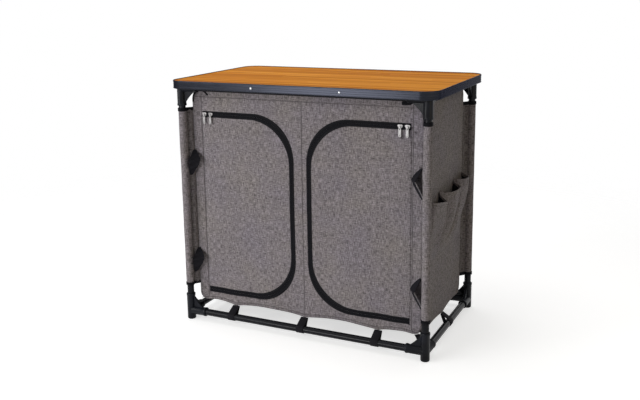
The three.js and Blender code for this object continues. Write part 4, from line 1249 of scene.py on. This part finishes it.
# side pockets: one sheet whose mouths gape, with folds that slant down from the seams
pockets = {
    "mouth": 0.462, "floor": 0.2716, "rows": 34, "columns": 56, "lift": 0.0006, "deepest": 0.034,
    "tallSpare": 1.06, "swell": 1.15, "slant": 1.3, "crease": 0.0032, "creaseWave": (9, 2.3, 4), "wrinkle": 0.0026,
    "wrinkleRise": 1.2, "wrinkleGrain": (40, 7, 3.3), "wrinkleEnds": (0.02, 0.98),
    # one slanting pleat, a ridge with a hollow beside it: (depth, width) of each, and where it runs
    "ridge": (0.0085, 0.005), "hollow": (0.0090, 0.006), "apart": 0.012, "pleatPlace": 0.084, "pleatHeight": 0.455,
    "pleatSlope": 0.55, "pleatStart": (0.28, 0.35), "pleatEnd": (0.460, 0.440),
    "hem": [(-0.0100, 0.0011), (-0.0096, 0.0018), (0.0, 0.0019), (0.0007, 0.0006), (0.0, -0.0007), (-0.0096, -0.0006),
            (-0.0100, 0.0)],
    "stitchOut": 0.0020, "stitchDown": -0.0080,
    # (y, depth, rise) along the mouth of each pocket, from its front seam to its back seam
    "rims": [
        [(-0.1947, 0.0, 0.012), (-0.1925, 0.020, 0.010), (-0.183, 0.031, 0.006), (-0.140, 0.034, -0.002),
         (-0.098, 0.034, -0.010), (-0.079, 0.034, -0.014), (-0.070, 0.028, -0.012), (-0.062, 0.011, -0.003),
         (-0.054, 0.004, 0.003), (-0.046, 0.0, 0.009)],
        [(-0.044, 0.0, 0.009), (-0.038, 0.010, 0.005), (-0.022, 0.022, 0.0), (0.012, 0.034, -0.001),
         (0.040, 0.035, -0.002), (0.066, 0.034, -0.002), (0.080, 0.028, 0.0), (0.088, 0.014, 0.003),
         (0.095, 0.004, 0.008), (0.104, 0.0, 0.012)],
        [(0.106, 0.0, 0.014), (0.110, 0.012, 0.013), (0.124, 0.026, 0.011), (0.146, 0.032, 0.010),
         (0.168, 0.032, 0.010), (0.184, 0.018, 0.012), (0.190, 0.008, 0.014), (0.1947, 0.0, 0.016)],
    ],
    # where each pocket's seams meet the hem
    "feet": [(-0.1947, -0.083), (-0.081, 0.045), (0.047, 0.1947)],
}


def curveThrough(controls, count):
    # a smooth line through the control points
    result = []
    spans = len(controls) - 1
    for step in range(count + 1):
        place = step / count * spans
        index = min(int(place), spans - 1)
        share = place - index
        around = [Vector(controls[min(max(index + shift, 0), spans)]) for shift in (-1, 0, 1, 2)]
        result.append(0.5 * (2 * around[1] + (around[2] - around[0]) * share
                             + (2 * around[0] - 5 * around[1] + 4 * around[2] - around[3]) * share ** 2
                             + (3 * around[1] - around[0] - 3 * around[2] + around[3]) * share ** 3))
    return result


def pocketPleat(y, z, values):
    beside = y - values["pleatPlace"] + (values["pleatHeight"] - z) * values["pleatSlope"]
    (ridge, ridgeWide), (hollow, hollowWide) = values["ridge"], values["hollow"]
    depth = ridge * math.exp(-(beside / ridgeWide) ** 2)
    depth -= hollow * math.exp(-((beside - values["apart"]) / hollowWide) ** 2)
    return depth * (smooth(*values["pleatStart"], z) * smooth(*values["pleatEnd"], z))


def makePockets(values):
    base, waves, grain = cabinet["halfX"] + values["lift"], values["creaseWave"], values["wrinkleGrain"]
    first, last = values["wrinkleEnds"]
    columns = []
    for order, (rim, (low, high)) in enumerate(zip(values["rims"], values["feet"])):
        for step, point in enumerate(curveThrough(rim, values["columns"])):
            along = step / values["columns"]
            columns.append((point, low + (high - low) * along, order, along))
    travels = [0.0]
    for (before, *_), (after, *_) in zip(columns, columns[1:]):
        travels.append(travels[-1] + (after - before).length)
    points, uvs = [], []
    for row in range(values["rows"] + 1):
        share = row / values["rows"]
        swell = math.sin(math.pi / 2 * share) ** values["swell"]
        slant = (1 - share) ** values["slant"]
        for (rim, foot, order, along), travel in zip(columns, travels):
            y = rim.x + (foot - rim.x) * slant
            z = values["floor"] + (values["mouth"] + rim.z - values["floor"]) * share
            fold = max(rim.y, 0.0) / values["deepest"]
            wave = math.sin(along * waves[0] + order * waves[1] + share * waves[2])
            depth = rim.y * swell + values["crease"] * math.sin(math.pi * share) * fold * wave
            depth += pocketPleat(y, z, values)
            if first < along < last:
                wrinkle = values["wrinkle"] * math.sin(math.pi * min(share * values["wrinkleRise"], 1))
                depth += wrinkle * noise.noise(Vector((y * grain[0], share * grain[1], grain[2] + order)))
            points.append(Vector((base + max(depth, 0.0), y, z)))
            uvs.append((travel, z))
    obj = makeSheet("pocket_cloth", points, netFaces(values["rows"] + 1, len(columns), isRing=False), uvs,
                    node="pockets_right", offset=1.0)
    # the inner faces take the near-black cloth: painted shade inside the pockets
    obj.data.materials.append(paintedShadePocketCloth)
    obj.modifiers["clothThickness"].material_offset = 1
    # a folded hem along the mouths
    rims = points[-len(columns):]
    up = [Vector((heading.y, -heading.x, 0)).normalized() for heading in headings(rims)]
    bandAlong("pocket_hem", rims, [Vector((0, 0, 1))] * len(rims), up, values["hem"], clothGrey)
    line = [spot + out * values["stitchOut"] + Vector((0, 0, values["stitchDown"])) for spot, out in zip(rims, up)]
    makeRow("pocket_stitches", [line], stitchTree, stitchLook, threadGrey)


makePockets(pockets)
print("pockets made")

# inner boards wrapped in lining, each as large as its CAD node
linedBoards = {
    "nodes": ("floor", "divider", "shelf_left_1", "shelf_left_2", "shelf_right_1", "shelf_right_2"), "round": 0.0008,
}


def makeSlab(node, rounding):
    low, high = (Vector(corner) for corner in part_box(node))
    middle, size = (low + high) / 2, high - low
    work = bmesh.new()
    bmesh.ops.create_cube(work, size=1.0)
    for vertex in work.verts:
        vertex.co = middle + vertex.co * size
    bmesh.ops.bevel(work, geom=work.edges[:], offset=rounding, segments=2, profile=0.5, affect="EDGES")
    layer = work.loops.layers.uv.new("weave")
    for face in work.faces:
        axes = (1, 2) if abs(face.normal.x) > 0.7 else ((0, 2) if abs(face.normal.y) > 0.7 else (0, 1))
        for loop in face.loops:
            loop[layer].uv = (loop.vert.co[axes[0]], loop.vert.co[axes[1]])
    mesh = bpy.data.meshes.new(f"lined_{node}")
    work.to_mesh(mesh)
    work.free()
    mesh.materials.append(liningCloth)
    placePiece(f"lined_{node}", mesh, "cabinet", node)


for node in linedBoards["nodes"]:
    makeSlab(node, linedBoards["round"])
print("inner boards made")


# zip sliders and pull tabs: rounded castings cut from flat outlines
def makePlate(name, node, rings, half, rounding, place):
    # rings are closed lines in (x, z), the first of them the outline
    curve = bpy.data.curves.new(name, "CURVE")
    curve.dimensions, curve.fill_mode = "2D", "BOTH"
    curve.extrude, curve.offset = half - rounding, -rounding
    curve.bevel_depth, curve.bevel_resolution = rounding, 2
    for ring in rings:
        line = curve.splines.new("POLY")
        line.points.add(len(ring) - 1)
        for point, (x, z) in zip(line.points, ring):
            point.co = (x, z, 0, 1)
        line.use_cyclic_u = True
    carrier = bpy.data.objects.new(name + "Outline", curve)
    scene.collection.objects.link(carrier)
    bpy.context.view_layer.update()
    mesh = bpy.data.meshes.new_from_object(carrier.evaluated_get(bpy.context.evaluated_depsgraph_get()))
    bpy.data.objects.remove(carrier)
    mesh.transform(Matrix.Translation(place) @ Matrix.Rotation(math.pi / 2, 4, "X"))
    mesh.materials.clear()
    mesh.materials.append(zipMetal)
    mesh.name = name
    cleanMesh(mesh, zips["merge"])
    mesh.polygons.foreach_set("use_smooth", [True] * len(mesh.polygons))
    mesh.set_sharp_from_angle(angle=math.radians(42))
    placePiece(name, mesh, node, node)


def mirrored(points):
    return points + [(-x, z) for x, z in reversed(points) if x > 1e-9]


def tabRings(values):
    # the pull tab: its outline, the hole at its end and the slot below its neck
    neck, wide, end = values["neck"] / 2, values["tabWide"] / 2, values["tabEnd"]
    middle = -values["tab"] + end
    line = values["tabLine"] + [(neck, 0.0012), (neck, -0.0038), (0.0034, -0.0058), (wide, -0.0080), (wide, middle)]
    line += [(wide * math.cos(turn), middle - end * math.sin(turn)) for turn in (0.3, 0.6, 0.9, 1.2, 1.57)]
    hole = arcPoints(0, middle, values["hole"], 0, 2 * math.pi * 15 / 16, 15)
    slot = arcPoints(0, values["slotHigh"], values["slot"], 0, math.pi, 6)
    slot += arcPoints(0, values["slotLow"], values["slot"], math.pi, 2 * math.pi, 6)
    return [mirrored(line), hole, slot]


def makeBridge(name, place, body, values):
    # the arch over the slider's body that carries the tab
    half, lift, wire = values["bridge"], values["bar"] - values["face"], values["wire"]
    climb = [(-1, 0), (-1, 0.6), (-0.75, 0.94), (-0.4, 1), (0.4, 1), (0.75, 0.94), (1, 0.6), (1, 0)]
    path = [Vector((half * x, -lift * y, 0)) for x, y in climb]
    points = []
    ring = 12
    for spot, heading in zip(path, headings(path)):
        side = heading.cross(Vector((0, 0, 1))).normalized()
        for step in range(ring):
            turn = 2 * math.pi * step / ring
            points.append(Vector(place) + spot + side * (wire * math.cos(turn)) + Vector((0, 0, wire * math.sin(turn))))
    faces = netFaces(len(path), ring) + endFaces(len(path), ring)
    cleanMesh(makePiece(name, points, faces, zipMetal, body, sharp=50).data)


for sideName, sign in sides:
    for order, setIn in zip(("outer", "inner"), zips[sideName]):
        x, label = sign * (zips["hinge"] - setIn), f"{sideName}_{order}"
        makePlate(f"zip_slider_{label}", f"slider_{label}", [mirrored(zips["sliderLine"])], zips["bodyHalf"],
                  zips["bodyRound"], (x, -zips["face"] - zips["bodyHalf"], zips["height"]))
        makeBridge(f"zip_bridge_{label}", (x, -zips["face"] - zips["play"], zips["height"]), f"slider_{label}", zips)
        makePlate(f"zip_pull_{label}", f"pull_{label}", tabRings(zips), zips["tabHalf"], zips["tabRound"],
                  (x, -zips["bar"] - zips["play"], zips["height"]))
print("zips made")

# seams: rows of stitches with a low fold of darker cloth beside each, its darkness painted shade of the seam, and
# stitches along the zip tapes
seams = {
    "lines": [
        [(-0.3545, 0.075), (-0.3545, 0.755)], [(0.3545, 0.075), (0.3545, 0.755)], [(-0.376, 0.746), (0.376, 0.746)],
        [(0.0, 0.070), (0.0, 0.744)],
    ],
    "lift": 0.0002, "step": 0.01, "hemInset": 0.004, "hemRise": 0.010, "foldOut": 0.0016,
    "tapeInset": 0.0014, "tapeLift": 0.0010, "setBack": 0.004,
    "fold": [(-0.0007, 0.0), (-0.0007, 0.0002), (0.0007, 0.0002), (0.0007, 0.0)],
}
hemLine = [(x, z + seams["hemRise"]) for x, z in hemPoints(cabinet["halfX"] - seams["hemInset"], cabinet["straps"])]
seamLines = [[frontSpot(x, z, seams["lift"]) for x, z in spaced(line, seams["step"], False)]
             for line in [*seams["lines"], hemLine]]
makeRow("front_seams", seamLines, stitchTree, stitchLook, threadGrey)
for order, line in enumerate(seamLines, 1):
    across = [Vector((heading.z, 0, -heading.x)).normalized() for heading in headings([Vector(spot) for spot in line])]
    shifted = [Vector(spot) + side * seams["foldOut"] for spot, side in zip(line, across)]
    bandAlong(f"seam_fold_{order}", shifted, across, [(0, -1, 0)] * len(line), seams["fold"], paintedShadeSeamCloth)
for sideName, sign, free in doors:
    for partName, outward, body in (("panel", 1, "cabinet"), ("door", -1, f"door_{sideName}")):
        grow = outward * (gap + cabinet["tape"] - seams["tapeInset"])
        ring = [frontSpot(x, z, seams["tapeLift"]) for x, z in openOutline(sign, free, grow, seams["setBack"])]
        makeRow(f"tape_stitch_{partName}_{sideName}", [ring], stitchTree, stitchLook, threadBlack, body)
print("seams made")
